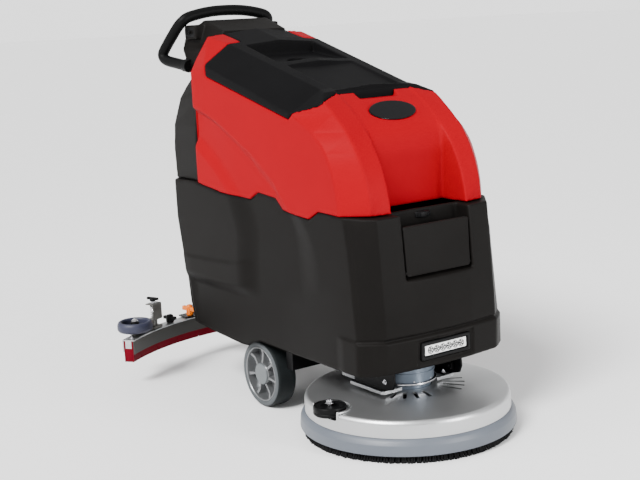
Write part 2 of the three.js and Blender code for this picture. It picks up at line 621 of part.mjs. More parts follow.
// ---------- console ----------
const COLUMN = [
  { at: jointAt(-610) + GAP, rear: [-749, 196], front: 204 },
  { at: 650, rear: [-756, 194], front: 203 },
  { at: 721, rear: [-754, 190], front: 200 },
  { at: 792, rear: [-738, 175], front: 190 },
  { at: 823, rear: [-734, 155], front: 178 },
  { at: 854, rear: [-718, 138], front: 165 },
  { at: 885, rear: [-738, 148], front: 158 },
  { at: 920, rear: [-776, 136], front: 134 },
  { at: 950, rear: [-778, 126], front: 104 },
  { at: 1010, rear: [-770, 105], front: 84 },
];
const CREST = { x: -700, z: 998 };
const PANEL_SLOPE = Math.atan2(66, 100);
const PANEL_LENGTH = 76;
const PANEL_WIDTH = 196;
const PANEL_DOWN = 48; // how far down the slope the panel's middle is
const CONTROLS_DOWN = 52; // how far down the panel the controls sit
const PADDLE = { x: -790, z: 914, reach: 77 };
const LEVER = { x: -776, z: 706 };
const PEDAL = { x: -658, z: 160 };
const PANEL_ITEMS = [
  { name: 'key_switch', y: -70, hole: 9.6 },
  { name: 'brush_button', y: -25, hole: 11.6 },
  { name: 'speed_knob', y: 68, hole: 6.6 },
];

function consoleSolid() {
  const column = loftUp(COLUMN.map(({ at, rear: [x, y], front }) => ({
    at, outline: mirrored([[x, -y + 30], [x + 12, -y], [COLUMN_FRONT, -front]]),
  })));
  const profile = prismAcross([
    [-800, 500], [-590, 500], [-590, 962], [CREST.x, CREST.z], [-800, 932],
  ], -300, 300);
  return column.intersect(profile);
}

// Places a solid, drawn lying on z = 0, on the control panel's slope, `down` along it.
function onPanel(solid, down, y) {
  const x = CREST.x - down * Math.cos(PANEL_SLOPE);
  const z = CREST.z - down * Math.sin(PANEL_SLOPE);
  return moved(solid.rotate([0, -PANEL_SLOPE * 180 / Math.PI, 0]), x, y, z);
}

function addConsole() {
  const loopLug = box(-752, -690, 100, 134, 948, 986);
  const paddleLug = box(PADDLE.x - 7, -765, PADDLE.reach + GAP, PADDLE.reach + 8, 905, 923);
  const leverBoss = join(
    box(-784, -700, 70, 80, 692, 720),
    moved(turnedAside(disc(6, 50, 75, 16)), LEVER.x, 0, LEVER.z),
  );
  const motorRoom = box(-722, -590, -125, 125, 640, 780);
  const half = PANEL_LENGTH / 2;
  const halfWidth = PANEL_WIDTH / 2;
  const panelSeat = onPanel(box(-half - 2, half + 2, -halfWidth - 2, halfWidth + 2, -3, 20), PANEL_DOWN, 0);
  const lugs = [loopLug, paddleLug].flatMap((lug) => [lug, leftCopy(lug)]);
  const pits = PANEL_ITEMS.map(({ y, hole }) => onPanel(disc(hole, -10, 10, 20), CONTROLS_DOWN, y));
  const neck = cut(join(consoleSolid(), ...lugs, leverBoss), motorRoom, panelSeat, handleRoom(), ...pits);
  add('console_neck', neck, BLACK_SHELL());
  const panel = onPanel(box(-half, half, -halfWidth, halfWidth, -2.5, 1), PANEL_DOWN, 0);
  add('control_panel', cut(panel, ...pits), finish(0x2c2f33, 0.45));
  const motor = join(disc(56, 645, 720, 28), disc(38, 715, 772, 24));
  add('vacuum_motor', moved(motor, -661, 0, 0), STEEL());
}

function addControls() {
  const key = join(disc(9, -2, 5, 20), box(-9, 9, -1.5, 1.5, 4, 24));
  const button = disc(11, -2, 6, 24);
  const knob = join(disc(6, -2, 3, 16), disc(16, 2, 16, 20), box(4, 17, -1.5, 1.5, 14, 18));
  [key, button, knob].forEach((solid, i) => {
    const { name, y } = PANEL_ITEMS[i];
    add(name, onPanel(solid, CONTROLS_DOWN, y), i === 1 ? finish(0x2c8a3a, 0.4) : BLACK_PLASTIC());
  });
  const paddle = join(
    moved(turnedAside(disc(6, -PADDLE.reach, PADDLE.reach, 12)), PADDLE.x, 0, PADDLE.z),
    prismAcross([[-816, 886], [-810, 884], [-787, 911], [-793, 914]], -74, 74),
  );
  add('drive_paddle', paddle, BLACK_PLASTIC());
}

const HANDLE_POINTS = [[-706, 152, 877], [-760, 157, 884], [-806, 165, 893], [-822, 167, 906], [-814, 163, 925],
  [-770, 147, 978], [-752, 138, 996], [-748, 118, 1008], [-747, 60, 1019]];

function handleSolid(radius) {
  const half = HANDLE_POINTS.map(([x, y, z]) => new THREE.Vector3(x, y, z));
  const across = half.slice().reverse().map(({ x, y, z }) => new THREE.Vector3(x, -y, z));
  return tube([...half, new THREE.Vector3(-747, 0, 1022), ...across], radius, 40, 8, 0.4);
}
const handleRoom = () => handleSolid(HANDLE_TUBE + GAP);

function addHandle() {
  const clearance = join(...[-GAP, GAP].map((y) => moved(consoleSolid(), 0, y, 0)));
  add('handle_loop', cut(handleSolid(HANDLE_TUBE), clearance), BLACK_PLASTIC());
}

function addLevers() {
  const arm = join(
    moved(turnedAside(disc(14, 52, 68, 20)), LEVER.x, 0, LEVER.z),
    prismAcross([[LEVER.x - 8, LEVER.z], [LEVER.x + 6, LEVER.z + 8], [LEVER.x - 34, LEVER.z + 128],
      [LEVER.x - 44, LEVER.z + 124]], 55, 65),
    moved(turnedAside(disc(14, 46, 74, 20)), LEVER.x - 42, 0, LEVER.z + 134),
  );
  const bore = moved(turnedAside(disc(6.6, 40, 90, 16)), LEVER.x, 0, LEVER.z);
  add('squeegee_lever', cut(arm, bore), BLACK_METAL());
  const pedal = join(box(-800, -648, 122, 132, 154, 166), box(-832, -796, 106, 148, 152, 160));
  const pedalBore = moved(turnedAside(disc(5.6, 110, 140, 12)), PEDAL.x, 0, PEDAL.z);
  add('brush_pedal', cut(pedal, pedalBore), BLACK_METAL());
}

function addHoses() {
  const suction = [
    [-900, 0, 190], [-900, 0, 230], [-894, 0, 300], [-872, 0, 380], [-834, 0, 440], [-796, 0, 466], [-758, 0, 470],
  ];
  const drain = [
    [-775, 120, 724], [-785, 120, 706], [-785, 120, 680], [-784, 120, 560], [-782, 120, 420], [-780, 120, 300],
  ];
  const along = (points) => points.map(([x, y, z]) => new THREE.Vector3(x, y, z));
  add('suction_hose', tube(along(suction), 21, 18, 10), BLACK_PLASTIC());
  add('drain_hose', tube(along(drain), 19, 16, 10), BLACK_PLASTIC());
}

addFrame();
addSolutionTank();
addFillDoor();
addHeadlight();
addDrive();
addBatteries();
addWheels();
addCaster();
addDeckCover();
addDeckSkirt();
addDeckMounts();
addBrushMotor();
addBrush();
addBumperRoller();
addDeckLinks();
addSqueegeeLinks();
addBlades();
addYokeAndPort();
addSqueegeeFittings();
const envelope = upperEnvelope();
addRecoveryTank(envelope);
addLid(envelope);
addBadge();
addFloatFilter();
addConsole();
addControls();
addHandle();
addLevers();
addHoses();

export default machine;
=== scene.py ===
import math
import random

import bpy
import bmesh
import numpy as np
from mathutils import Matrix, Vector


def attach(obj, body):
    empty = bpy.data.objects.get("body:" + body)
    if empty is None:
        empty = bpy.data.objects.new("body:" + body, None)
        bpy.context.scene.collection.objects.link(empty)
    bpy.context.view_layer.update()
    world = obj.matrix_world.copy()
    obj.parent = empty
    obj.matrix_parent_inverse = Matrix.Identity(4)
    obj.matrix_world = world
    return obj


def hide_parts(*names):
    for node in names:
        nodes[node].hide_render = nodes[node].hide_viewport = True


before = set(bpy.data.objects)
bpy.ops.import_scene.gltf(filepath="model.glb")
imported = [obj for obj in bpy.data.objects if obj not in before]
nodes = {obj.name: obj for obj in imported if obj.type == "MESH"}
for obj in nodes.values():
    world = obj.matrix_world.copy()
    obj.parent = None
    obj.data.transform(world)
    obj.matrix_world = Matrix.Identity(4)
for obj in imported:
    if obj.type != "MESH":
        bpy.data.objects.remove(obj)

# A walk-behind floor scrubber. Shapes are given in millimetres with x counted from the brush's axis;
# place() turns them into the row frame, in metres.
DECK_X = 0.3335
ROW_SHIFT = np.array([DECK_X * 1000, 0, 0])
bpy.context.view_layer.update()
random.seed(11)


def place(x, y, z):
    return Vector((x / 1000 + DECK_X, y / 1000, z / 1000))


# ---------- building meshes ----------
class Builder:
    """Collects closed surfaces, given in millimetres, into one mesh."""

    def __init__(self):
        self.verts = []
        self.faces = []

    def add(self, verts, faces, turn=None, shift=(0, 0, 0)):
        base = len(self.verts)
        for v in verts:
            p = Vector(v)
            if turn is not None:
                p = turn @ p
            self.verts.append(p + Vector(shift))
        self.faces += [tuple(base + i for i in face) for face in faces]
        return self

    def mesh(self, name):
        mesh = bpy.data.meshes.new(name)
        mesh.from_pydata([place(*v) for v in self.verts], [], self.faces)
        bm = bmesh.new()
        bm.from_mesh(mesh)
        bmesh.ops.remove_doubles(bm, verts=bm.verts, dist=1e-6)
        bmesh.ops.recalc_face_normals(bm, faces=bm.faces)
        bm.to_mesh(mesh)
        bm.free()
        return mesh


def new_object(name, data):
    obj = bpy.data.objects.new(name, data)
    bpy.context.scene.collection.objects.link(obj)
    return obj


def shade_smooth(mesh, sharp=38):
    """Smooth faces, with edges sharper than that angle left crisp."""
    for polygon in mesh.polygons:
        polygon.use_smooth = True
    if sharp:
        mesh.set_sharp_from_angle(angle=math.radians(sharp))


def piece(name, shape, material, body, replaces=(), sharp=38):
    """A visible piece from a Builder or a mesh, riding on a CAD body."""
    mesh = shape.mesh(name) if isinstance(shape, Builder) else shape
    obj = new_object(name, mesh)
    mesh.materials.clear()
    mesh.materials.append(material)
    shade_smooth(mesh, sharp)
    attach(obj, body)
    if replaces:
        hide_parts(*replaces)
    return obj


def ring_skin(rings):
    """A closed skin through rings of points that all have the same count."""
    count = len(rings[0])
    verts = [v for ring in rings for v in ring]
    faces = []
    for r in range(len(rings) - 1):
        here, there = r * count, (r + 1) * count
        for i in range(count):
            j = (i + 1) % count
            faces.append((here + i, here + j, there + j, there + i))
    faces.append(tuple(range(count))[::-1])
    faces.append(tuple((len(rings) - 1) * count + i for i in range(count)))
    return verts, faces


def lathe(profile, segments=96):
    """A body of revolution about z; the profile is (radius, z) and closes on itself or on the axis."""
    rings = []
    for i in range(segments):
        c, s = math.cos(2 * math.pi * i / segments), math.sin(2 * math.pi * i / segments)
        rings.append([(r * c, r * s, z) for r, z in profile])
    count = len(profile)
    verts = [v for ring in rings for v in ring]
    faces = []
    for i in range(segments):
        here, there = i * count, ((i + 1) % segments) * count
        for k in range(count - 1):
            corners = [here + k, there + k, there + k + 1, here + k + 1]
            if profile[k][0] < 1e-6:
                corners = [here + k, there + k + 1, here + k + 1]
            elif profile[k + 1][0] < 1e-6:
                corners = [here + k, there + k, here + k + 1]
            faces.append(tuple(corners))
    return verts, faces


def rounded(points, radius, steps=4):
    """Rounds the corners of an open line of 2-D points."""
    out = [points[0]]
    for a, b, c in zip(points, points[1:], points[2:]):
        a, b, c = Vector(a), Vector(b), Vector(c)
        reach = min(radius, (a - b).length * 0.45, (c - b).length * 0.45)
        start, end = b + (a - b).normalized() * reach, b + (c - b).normalized() * reach
        for i in range(steps + 1):
            t = i / steps
            out.append(tuple((1 - t) ** 2 * start + 2 * t * (1 - t) * b + t ** 2 * end))
    return out + [points[-1]]


def lathed(profile, radius, steps, segments):
    """A body of revolution whose profile has rounded corners."""
    return lathe(rounded(profile, radius, steps), segments)


def rounded_loop(points, radius, steps=4):
    """Rounds every corner of a closed outline."""
    middle = tuple((a + b) / 2 for a, b in zip(points[0], points[-1]))
    return rounded([middle, *points, middle], radius, steps)[1:]


def taken_from(bm):
    """The vertices and faces of a bmesh, which is then freed."""
    bm.verts.index_update()
    out = [tuple(v.co) for v in bm.verts], [tuple(v.index for v in f.verts) for f in bm.faces]
    bm.free()
    return out


def block(x0, x1, y0, y1, z0, z1, bevel=1.5, segments=3):
    """A box with rounded edges."""
    bm = bmesh.new()
    bmesh.ops.create_cube(bm, size=1)
    size = Vector((x1 - x0, y1 - y0, z1 - z0))
    middle = Vector((x0 + x1, y0 + y1, z0 + z1)) / 2
    for v in bm.verts:
        v.co = Vector((v.co.x * size.x, v.co.y * size.y, v.co.z * size.z)) + middle
    bmesh.ops.bevel(bm, geom=bm.edges[:], offset=min(bevel, min(size) * 0.45), segments=segments,
                    profile=0.5, affect='EDGES')
    return taken_from(bm)


def plate(outline, z0, z1, bevel):
    """An upright prism from a list of (x, y), with its rims rounded."""
    bm = bmesh.new()
    low = [bm.verts.new((x, y, z0)) for x, y in outline]
    high = [bm.verts.new((x, y, z1)) for x, y in outline]
    bm.faces.new(low[::-1])
    bm.faces.new(high)
    for i in range(len(outline)):
        j = (i + 1) % len(outline)
        bm.faces.new((low[i], low[j], high[j], high[i]))
    bmesh.ops.recalc_face_normals(bm, faces=bm.faces)
    rims = [e for e in bm.edges if abs(e.verts[0].co.z - e.verts[1].co.z) < 1e-6]
    bmesh.ops.bevel(bm, geom=rims, offset=bevel, segments=2, profile=0.5, affect='EDGES')
    return taken_from(bm)


def smooth_path(points, count):
    """Evenly spaced points on a Catmull-Rom curve through the given ones."""
    pts = [Vector(p) for p in points]
    pts = [2 * pts[0] - pts[1]] + pts + [2 * pts[-1] - pts[-2]]
    fine = []
    for i in range(1, len(pts) - 2):
        p0, p1, p2, p3 = pts[i - 1:i + 3]
        for k in range(24):
            t = k / 24
            fine.append(0.5 * (2 * p1 + (p2 - p0) * t + (2 * p0 - 5 * p1 + 4 * p2 - p3) * t * t
                               + (3 * p1 - p0 - 3 * p2 + p3) * t ** 3))
    fine.append(pts[-2])
    lengths = np.cumsum([0] + [(b - a).length for a, b in zip(fine, fine[1:])])
    table = np.array(fine)
    where = np.linspace(0, lengths[-1], count)
    return [Vector([np.interp(s, lengths, table[:, k]) for k in range(3)]) for s in where], where


def sweep(points, radius, count=120, sides=20):
    """A round tube; the radius is a number or a function of the distance along it."""
    path, where = smooth_path(points, count)
    tangent = (path[1] - path[0]).normalized()
    side = tangent.orthogonal().normalized()
    rings = []
    for i, p in enumerate(path):
        ahead = path[min(i + 1, count - 1)] - path[max(i - 1, 0)]
        tangent = ahead.normalized()
        side = (side - tangent * side.dot(tangent)).normalized()
        other = tangent.cross(side)
        r = radius(where[i]) if callable(radius) else radius
        rings.append([p + (side * math.cos(a) + other * math.sin(a)) * r
                      for a in (2 * math.pi * k / sides for k in range(sides))])
    return ring_skin(rings)


SQUEEGEE_X = -300
SQUEEGEE_REACH = math.radians(36.9)


def curve_ring(angle, section):
    """A (radius, z) section stood up at an angle on the squeegee's curve."""
    return [(SQUEEGEE_X - r * math.cos(angle), r * math.sin(angle), z) for r, z in section]


def arc_sweep(section, count=120):
    """Sweeps a closed (radius, z) section along the squeegee's curve."""
    angles = [-SQUEEGEE_REACH + 2 * SQUEEGEE_REACH * i / count for i in range(count + 1)]
    return ring_skin([curve_ring(a, section) for a in angles])


def on_curve(angle, radius=600):
    """The place at an angle in degrees on the squeegee's curve."""
    turn = math.radians(angle)
    return SQUEEGEE_X - radius * math.cos(turn), radius * math.sin(turn)


def hexagon(radius, height):
    outline = [(radius * math.cos(math.pi * k / 3), radius * math.sin(math.pi * k / 3)) for k in range(6)]
    return plate(outline, 0, height, bevel=min(0.8, height * 0.2))


def bolt(builder, spot, axis=(0, 0, 1), size=7.0, head=4.5, washer=True):
    """A washer and a hexagon head on a small shank end."""
    turn = Vector((0, 0, 1)).rotation_difference(Vector(axis)).to_matrix()
    if washer:
        ring = lathed([(0, 0), (size * 1.35, 0), (size * 1.35, 1.4), (0, 1.4)], 0.5, 2, 32)
        builder.add(*ring, turn, spot)
    builder.add(*hexagon(size, head), turn, Vector(spot) + turn @ Vector((0, 0, 1.2)))
    tip = lathed([(0, 0), (size * 0.48, 0), (size * 0.48, head + 3.2), (0, head + 3.2)], 0.9, 2, 24)
    builder.add(*tip, turn, spot)


# ---------- materials ----------
def add_node(tree, kind, **inputs):
    """A shader node with values set on its sockets; an underscore stands for a space."""
    made = tree.nodes.new("ShaderNode" + kind)
    for socket, value in inputs.items():
        made.inputs[socket.replace("_", " ")].default_value = value
    return made


def painted_edge_highlight(tree, shade, color, edge_highlight):
    """Mixes a lighter colour in along the convex edges: a painted highlight on the rims."""
    link = tree.links.new
    edge = add_node(tree, "NewGeometry")
    level = add_node(tree, "MapRange", From_Min=0.53, From_Max=0.62, To_Max=edge_highlight)
    link(edge.outputs["Pointiness"], level.inputs["Value"])
    mix = add_node(tree, "Mix")
    mix.data_type = 'RGBA'
    mix.inputs["B"].default_value = [min(1, c * 1.6 + 0.03) for c in color] + [1]
    link(level.outputs["Result"], mix.inputs["Factor"])
    link(shade, mix.inputs["A"])
    return mix.outputs["Result"]


def fine_grain(tree, mapping, shader, grain, cell):
    link = tree.links.new
    fine = add_node(tree, "TexNoise", Scale=cell, Detail=2.0)
    link(mapping.outputs["Vector"], fine.inputs["Vector"])
    bump = add_node(tree, "Bump", Strength=grain, Distance=0.0006)
    link(fine.outputs["Fac"], bump.inputs["Height"])
    link(bump.outputs["Normal"], shader.inputs["Normal"])


def material(name, color, rough, metal=0.0, grain=0.0, cell=900.0, vary=0.06, stretch=(1, 1, 1),
             coat=0.0, ior=1.45, edge_highlight=0.0):
    """A procedural surface: mottled colour and roughness, fine grain and an optional painted highlight on
    convex edges.
    """
    mat = bpy.data.materials.new(name)
    mat.use_nodes = True
    tree = mat.node_tree
    link = tree.links.new
    shader = tree.nodes["Principled BSDF"]
    shader.inputs["Metallic"].default_value = metal
    shader.inputs["IOR"].default_value = ior
    shader.inputs["Coat Weight"].default_value = coat
    shader.inputs["Coat Roughness"].default_value = 0.15
    coords = add_node(tree, "TexCoord")
    mapping = add_node(tree, "Mapping", Scale=stretch)
    link(coords.outputs["Object"], mapping.inputs["Vector"])

    broad = add_node(tree, "TexNoise", Scale=9.0, Detail=5.0)
    link(mapping.outputs["Vector"], broad.inputs["Vector"])
    ramp = add_node(tree, "ValToRGB")
    low, high = ramp.color_ramp.elements
    low.position = 0.3
    high.position = 0.7
    low.color = [c * (1 - vary) for c in color] + [1]
    high.color = [min(1, c * (1 + vary)) for c in color] + [1]
    link(broad.outputs["Fac"], ramp.inputs["Fac"])
    shade = ramp.outputs["Color"]
    if edge_highlight:
        shade = painted_edge_highlight(tree, shade, color, edge_highlight)
    link(shade, shader.inputs["Base Color"])

    rough_map = add_node(tree, "MapRange", To_Min=rough * 0.86, To_Max=min(1, rough * 1.14))
    link(broad.outputs["Fac"], rough_map.inputs["Value"])
    link(rough_map.outputs["Result"], shader.inputs["Roughness"])
    if grain:
        fine_grain(tree, mapping, shader, grain, cell)
    return mat


# The black shells, the lid and the black plastic get a painted highlight along their convex edges.
SHELL = material("black_moulded_shell", (0.0052, 0.0046, 0.0042), 0.46, grain=0.3, cell=1100,
                 vary=0.1, ior=1.13, edge_highlight=0.25)
LID = material("lid_black", (0.0046, 0.0045, 0.0048), 0.48, grain=0.3, cell=1100, vary=0.1, ior=1.08,
               edge_highlight=0.25)
RED = material("red_moulded_shell", (0.25, 0.0, 0.0052), 0.42, grain=0.1, cell=1300, vary=0.02, ior=1.08)
PLASTIC = material("black_plastic", (0.0032, 0.0032, 0.0035), 0.4, grain=0.2, cell=1500, ior=1.18, edge_highlight=0.2)
GRIP = material("grip_foam", (0.003, 0.0031, 0.0032), 0.45, grain=0.5, cell=700, ior=1.15)
BLACK_METAL = material("black_powder_coat", (0.003, 0.003, 0.0033), 0.35, metal=0.05, grain=0.25,
                       cell=2200, ior=1.2)
DECK = material("deck_silver_coat", (0.5, 0.505, 0.51), 0.36, metal=0.92, grain=0.1, cell=1500, vary=0.03)
# A darker copy of the steel for the height brackets: painted shade where they sit in shadow.
STEEL_PAINTED_SHADE = material("steel_painted_shade", (0.12, 0.118, 0.11), 0.4, metal=0.6, grain=0.2, cell=900)
STEEL = material("brushed_steel", (0.5, 0.51, 0.52), 0.3, metal=0.9, grain=0.25, cell=500,
                 stretch=(1, 1, 30), vary=0.05)
ZINC = material("zinc_bolts", (0.62, 0.62, 0.64), 0.22, metal=1.0, grain=0.1, cell=1500)
SKIRT = material("blue_grey_skirt", (0.085, 0.096, 0.115), 0.42, grain=0.12, cell=900, vary=0.05)
MOTOR = material("blue_grey_motor", (0.13, 0.16, 0.2), 0.35, metal=0.4, grain=0.15, cell=1300)
# The tyre wall and the tread are one rubber in two shades: the wall's grey is painted light and the tread's
# near-black is painted shade.
TYRE_PAINTED_LIGHT = material("tyre_wall_painted_light", (0.06, 0.066, 0.07), 0.6, grain=0.4, cell=700, vary=0.1, ior=1.3)
RUBBER_PAINTED_SHADE = material("rubber_painted_shade", (0.007, 0.009, 0.0095), 0.65, grain=0.5, cell=700, vary=0.15, ior=1.25)
RIM = material("silver_rim", (0.2, 0.205, 0.21), 0.3, metal=0.75, grain=0.15, cell=1500)
CAP = material("grey_hub_cap", (0.1, 0.11, 0.115), 0.45, grain=0.15, cell=1500)
RED_RUBBER = material("red_rubber", (0.11, 0.0, 0.006), 0.5, grain=0.25, cell=1200, vary=0.1, ior=1.15)
BAND = material("dark_band", (0.04, 0.0395, 0.037), 0.38, metal=0.5, grain=0.15, cell=1200)
ROLLER = material("violet_grey_roller", (0.026, 0.028, 0.048), 0.45, grain=0.25, cell=1100,
                  vary=0.1, ior=1.35)
ORANGE = material("orange_plastic", (0.62, 0.13, 0.001), 0.36, grain=0.15, cell=1100, vary=0.06, ior=1.3)
BRISTLE = material("black_bristle", (0.004, 0.004, 0.0045), 0.62, grain=0.5, cell=300, vary=0.4, ior=1.2)
BRUSH = material("brush_plastic", (0.02, 0.02, 0.022), 0.55, grain=0.3)
BATTERY = material("battery_case", (0.014, 0.017, 0.022), 0.45, grain=0.25)
HOSE = material("hose_plastic", (0.007, 0.007, 0.0075), 0.42, grain=0.2, ior=1.3)
BADGE = material("badge_gloss", (0.0025, 0.0025, 0.003), 0.12, grain=0.02, ior=1.3)
PANEL = material("panel_film", (0.014, 0.016, 0.02), 0.32, grain=0.1)
GREEN = material("green_button", (0.01, 0.2, 0.025), 0.3, grain=0.1, coat=0.3)
LAMP = material("lamp_reflector", (0.92, 0.92, 0.91), 0.3, grain=0.05, vary=0.02, coat=0.3)
LAMP_DOT = material("lamp_lens", (0.02, 0.021, 0.023), 0.2, metal=0.3, vary=0.2, ior=1.3)
BRASS = material("terminal_brass", (0.55, 0.38, 0.12), 0.3, metal=1.0, grain=0.1)
RED_LAMP = material("red_cap", (0.45, 0.003, 0.004), 0.35, grain=0.1)


# ---------- moulded shells: the CAD solids with soft edges and sculpted sides ----------
def softened(node, name, voxel, rounds, shape=None):
    """Remeshes a copy of a CAD solid finely, rounds its edges and lets `shape` move its points."""
    source = new_object(name + "_source", nodes[node].data.copy())
    remesh = source.modifiers.new("remesh", 'REMESH')
    remesh.mode = 'VOXEL'
    remesh.voxel_size = voxel / 1000
    smooth = source.modifiers.new("smooth", 'SMOOTH')
    smooth.factor = 0.5
    smooth.iterations = rounds
    depsgraph = bpy.context.evaluated_depsgraph_get()
    mesh = bpy.data.meshes.new_from_object(source.evaluated_get(depsgraph))
    bpy.data.objects.remove(source)
    mesh.name = name
    if shape:
        count = len(mesh.vertices)
        points = np.empty(count * 3)
        normals = np.empty(count * 3)
        mesh.vertices.foreach_get("co", points)
        mesh.vertices.foreach_get("normal", normals)
        points = points.reshape(-1, 3) * 1000 - ROW_SHIFT
        points = shape(points, normals.reshape(-1, 3))
        points = (points + ROW_SHIFT) / 1000
        mesh.vertices.foreach_set("co", points.ravel())
        mesh.update()
    return mesh


def step(value):
    """Rises smoothly from 0 to 1 as the value does."""
    t = np.clip(value, 0, 1)
    return t * t * (3 - 2 * t)


def line(points, values):
    """Straight lines through (position, value) pairs."""
    xs, ys = zip(*points)
    return np.interp(values, xs, ys)


def spline(points, values):
    """A smooth curve through (position, value) pairs."""
    xs = np.array([p[0] for p in points], float)
    ys = np.array([p[1] for p in points], float)
    slopes = np.gradient(ys, xs)
    i = np.clip(np.searchsorted(xs, values) - 1, 0, len(xs) - 2)
    width = xs[i + 1] - xs[i]
    t = np.clip((values - xs[i]) / width, 0, 1)
    return ((1 + 2 * t) * (1 - t) ** 2 * ys[i] + t * (1 - t) ** 2 * width * slopes[i]
            + t * t * (3 - 2 * t) * ys[i + 1] + t * t * (t - 1) * width * slopes[i + 1])


# Lines of the sculpted sides in millimetres of the row frame: (x, z), and (z, x) for the facets and swells.
SEAM_FRONT, SEAM_Z, SEAM_SLOPE = 387.5, 551, 0.0345
JOINT_EDGE = [(-300, 578), (-280, 577), (-138, 559), (-16, 553), (-8, 553), (30, 574), (112, 566), (142, 541),
              (258, 532), (298, 554), (380, 551), (400, 551)]
LEDGE_TOP = [(-330, 328), (-242, 324), (-168, 324), (-76, 327), (2, 334), (78, 348), (134, 360),
             (188, 377), (300, 400)]
LEDGE_LOW = [(-330, 288), (-246, 290), (-80, 290), (8, 292), (92, 299), (164, 308), (266, 330), (320, 350)]
FACET_REAR = [(400, -78), (435, -74), (456, -70), (481, -78), (506, -90), (536, -100), (600, -118)]
FACET_FRONT = [(400, 18), (437, 24), (473, 28), (493, 24), (517, 14), (544, 2), (600, -12)]
SWELL_REAR = [(330, 200), (400, 190), (469, 186), (492, 182), (515, 174), (600, 150)]
SWELL_FRONT = [(330, 285), (355, 298), (393, 296), (430, 292), (462, 282), (493, 264), (519, 250), (600, 225)]
LINE_TOP = [(-318, 376), (-214, 380), (-110, 386), (-10, 403)]


def follow_joint(points, x, y, z):
    """Bends the seam between the two tanks into its stepped line, on the outer walls only."""
    seam = SEAM_Z + np.maximum(0, SEAM_FRONT - x) * SEAM_SLOPE
    reach = step((np.abs(y) - 194) / 12) * (1 - step(np.abs(z - seam) / 64))
    points[:, 2] += (line(JOINT_EDGE, x) - seam) * reach
    return points


def shape_lower(points, normals):
    """Sculpts the black tank: a ledge and a scoop on each side, and a groove over the lamp."""
    x, y, z = (points + ROW_SHIFT).T
    scoop = step((x - line(FACET_REAR, z)) / (line(FACET_FRONT, z) - line(FACET_REAR, z)))
    swell = step((x - line(SWELL_REAR, z)) / (line(SWELL_FRONT, z) - line(SWELL_REAR, z)))
    upper = -12.0 * scoop + 10.0 * swell
    lower = -12.5 + 11.5 * step((x - 90) / 290)
    ledge = step((line(LEDGE_TOP, x) - z) / (line(LEDGE_TOP, x) - line(LEDGE_LOW, x)))
    crease = step((line(LINE_TOP, x) - z) / 14) * (1 - step((x + 60) / 60)) * (1 - ledge)
    depth = (upper + 3.5 * crease) * (1 - ledge) + lower * ledge
    fade_rear = step((x + 372) / 60)
    outer = step((np.abs(y) - 203) / 8)
    chin = 4.0 * step((x - 345) / 40) * step((276 - z) / 7) * step((np.abs(y) - 160) / 20)
    points[:, 1] += np.sign(y) * (depth * outer * (0.35 + 0.65 * fade_rear) + chin)
    # The nose stands out a little below the lamp's groove line.
    lamp = (np.abs(y) < 84) & (z > 200) & (z < 262)
    front = step((x - 390) / 30) * (normals[:, 0] > 0.3) * ~lamp
    groove = np.exp(-((z - 272) / 3.0) ** 2)
    points[:, 0] += (3.4 * step((270 - z) / 5) - 5.5 * groove) * front
    return follow_joint(points, x, y, z)


CHANNEL_TOP = [(-300, 790), (-236, 773), (-186, 760), (-126, 739), (-70, 714), (-24, 694), (20, 675),
               (90, 631), (146, 592), (202, 550), (230, 520)]
CHANNEL_IN = [(-300, 768), (-222, 753), (-178, 740), (-138, 726), (-54, 685), (18, 645), (86, 596),
              (128, 566), (230, 470)]
RETURN_IN = [(-300, 722), (-226, 690), (-176, 667), (-130, 639), (-84, 607), (-48, 574), (100, 440)]
RETURN_TOP = [(-300, 690), (-270, 677), (-232, 653), (-202, 634), (-164, 611), (-136, 592),
              (-108, 574), (100, 420)]
NOSE_LEVELS = (547, 600, 645, 690, 735, 775, 800, 820)
# How far forward of the brush axis the red nose comes at those heights, by distance from the middle.
NOSE_LINES = {
    214: (49, 43, 30, 7, -40, -120, -120, -120),
    165: (101, 95, 82, 60, 25, -22, -58, -92),
    111: (109, 99, 84, 60, 22, -22, -58, -90),
    104: (30, 31, 33, 34, 18, -25, -62, -96),
}


def shape_upper(points, normals):
    """Sculpts the red tank: a slanting channel on each side and a smooth curve to its nose."""
    x, y, z = (points + ROW_SHIFT).T
    into = step((line(CHANNEL_TOP, x) - z) / (line(CHANNEL_TOP, x) - line(CHANNEL_IN, x)))
    back = step((line(RETURN_IN, x) - z) / (line(RETURN_IN, x) - line(RETURN_TOP, x)))
    deep = 7.5 + 5.5 * step((-60 - x) / 180)
    outer = step((np.abs(y) - 202) / 8)
    points[:, 1] -= np.sign(y) * deep * into * (1 - back) * outer
    nose_x = points[:, 0]
    height = np.clip(points[:, 2], NOSE_LEVELS[0], NOSE_LEVELS[-1])
    spans = sorted(NOSE_LINES)
    curves = [list(zip(NOSE_LEVELS, NOSE_LINES[span])) for span in spans]
    by_side = np.array([spline(pairs, height) - line(pairs, height) for pairs in curves])
    reach = np.clip(np.abs(y), spans[0], spans[-1])
    k = np.clip(np.searchsorted(spans, reach) - 1, 0, len(spans) - 2)
    low = np.array(spans)[k]
    t = (reach - low) / (np.array(spans)[k + 1] - low)
    index = np.arange(len(x))
    offset = by_side[k, index] * (1 - t) + by_side[k + 1, index] * t
    skin = (normals[:, 0] > 0.15) & (nose_x > -150)
    points[:, 0] += offset * skin * step((nose_x + 150) / 60)
    return follow_joint(points, x, y, z)


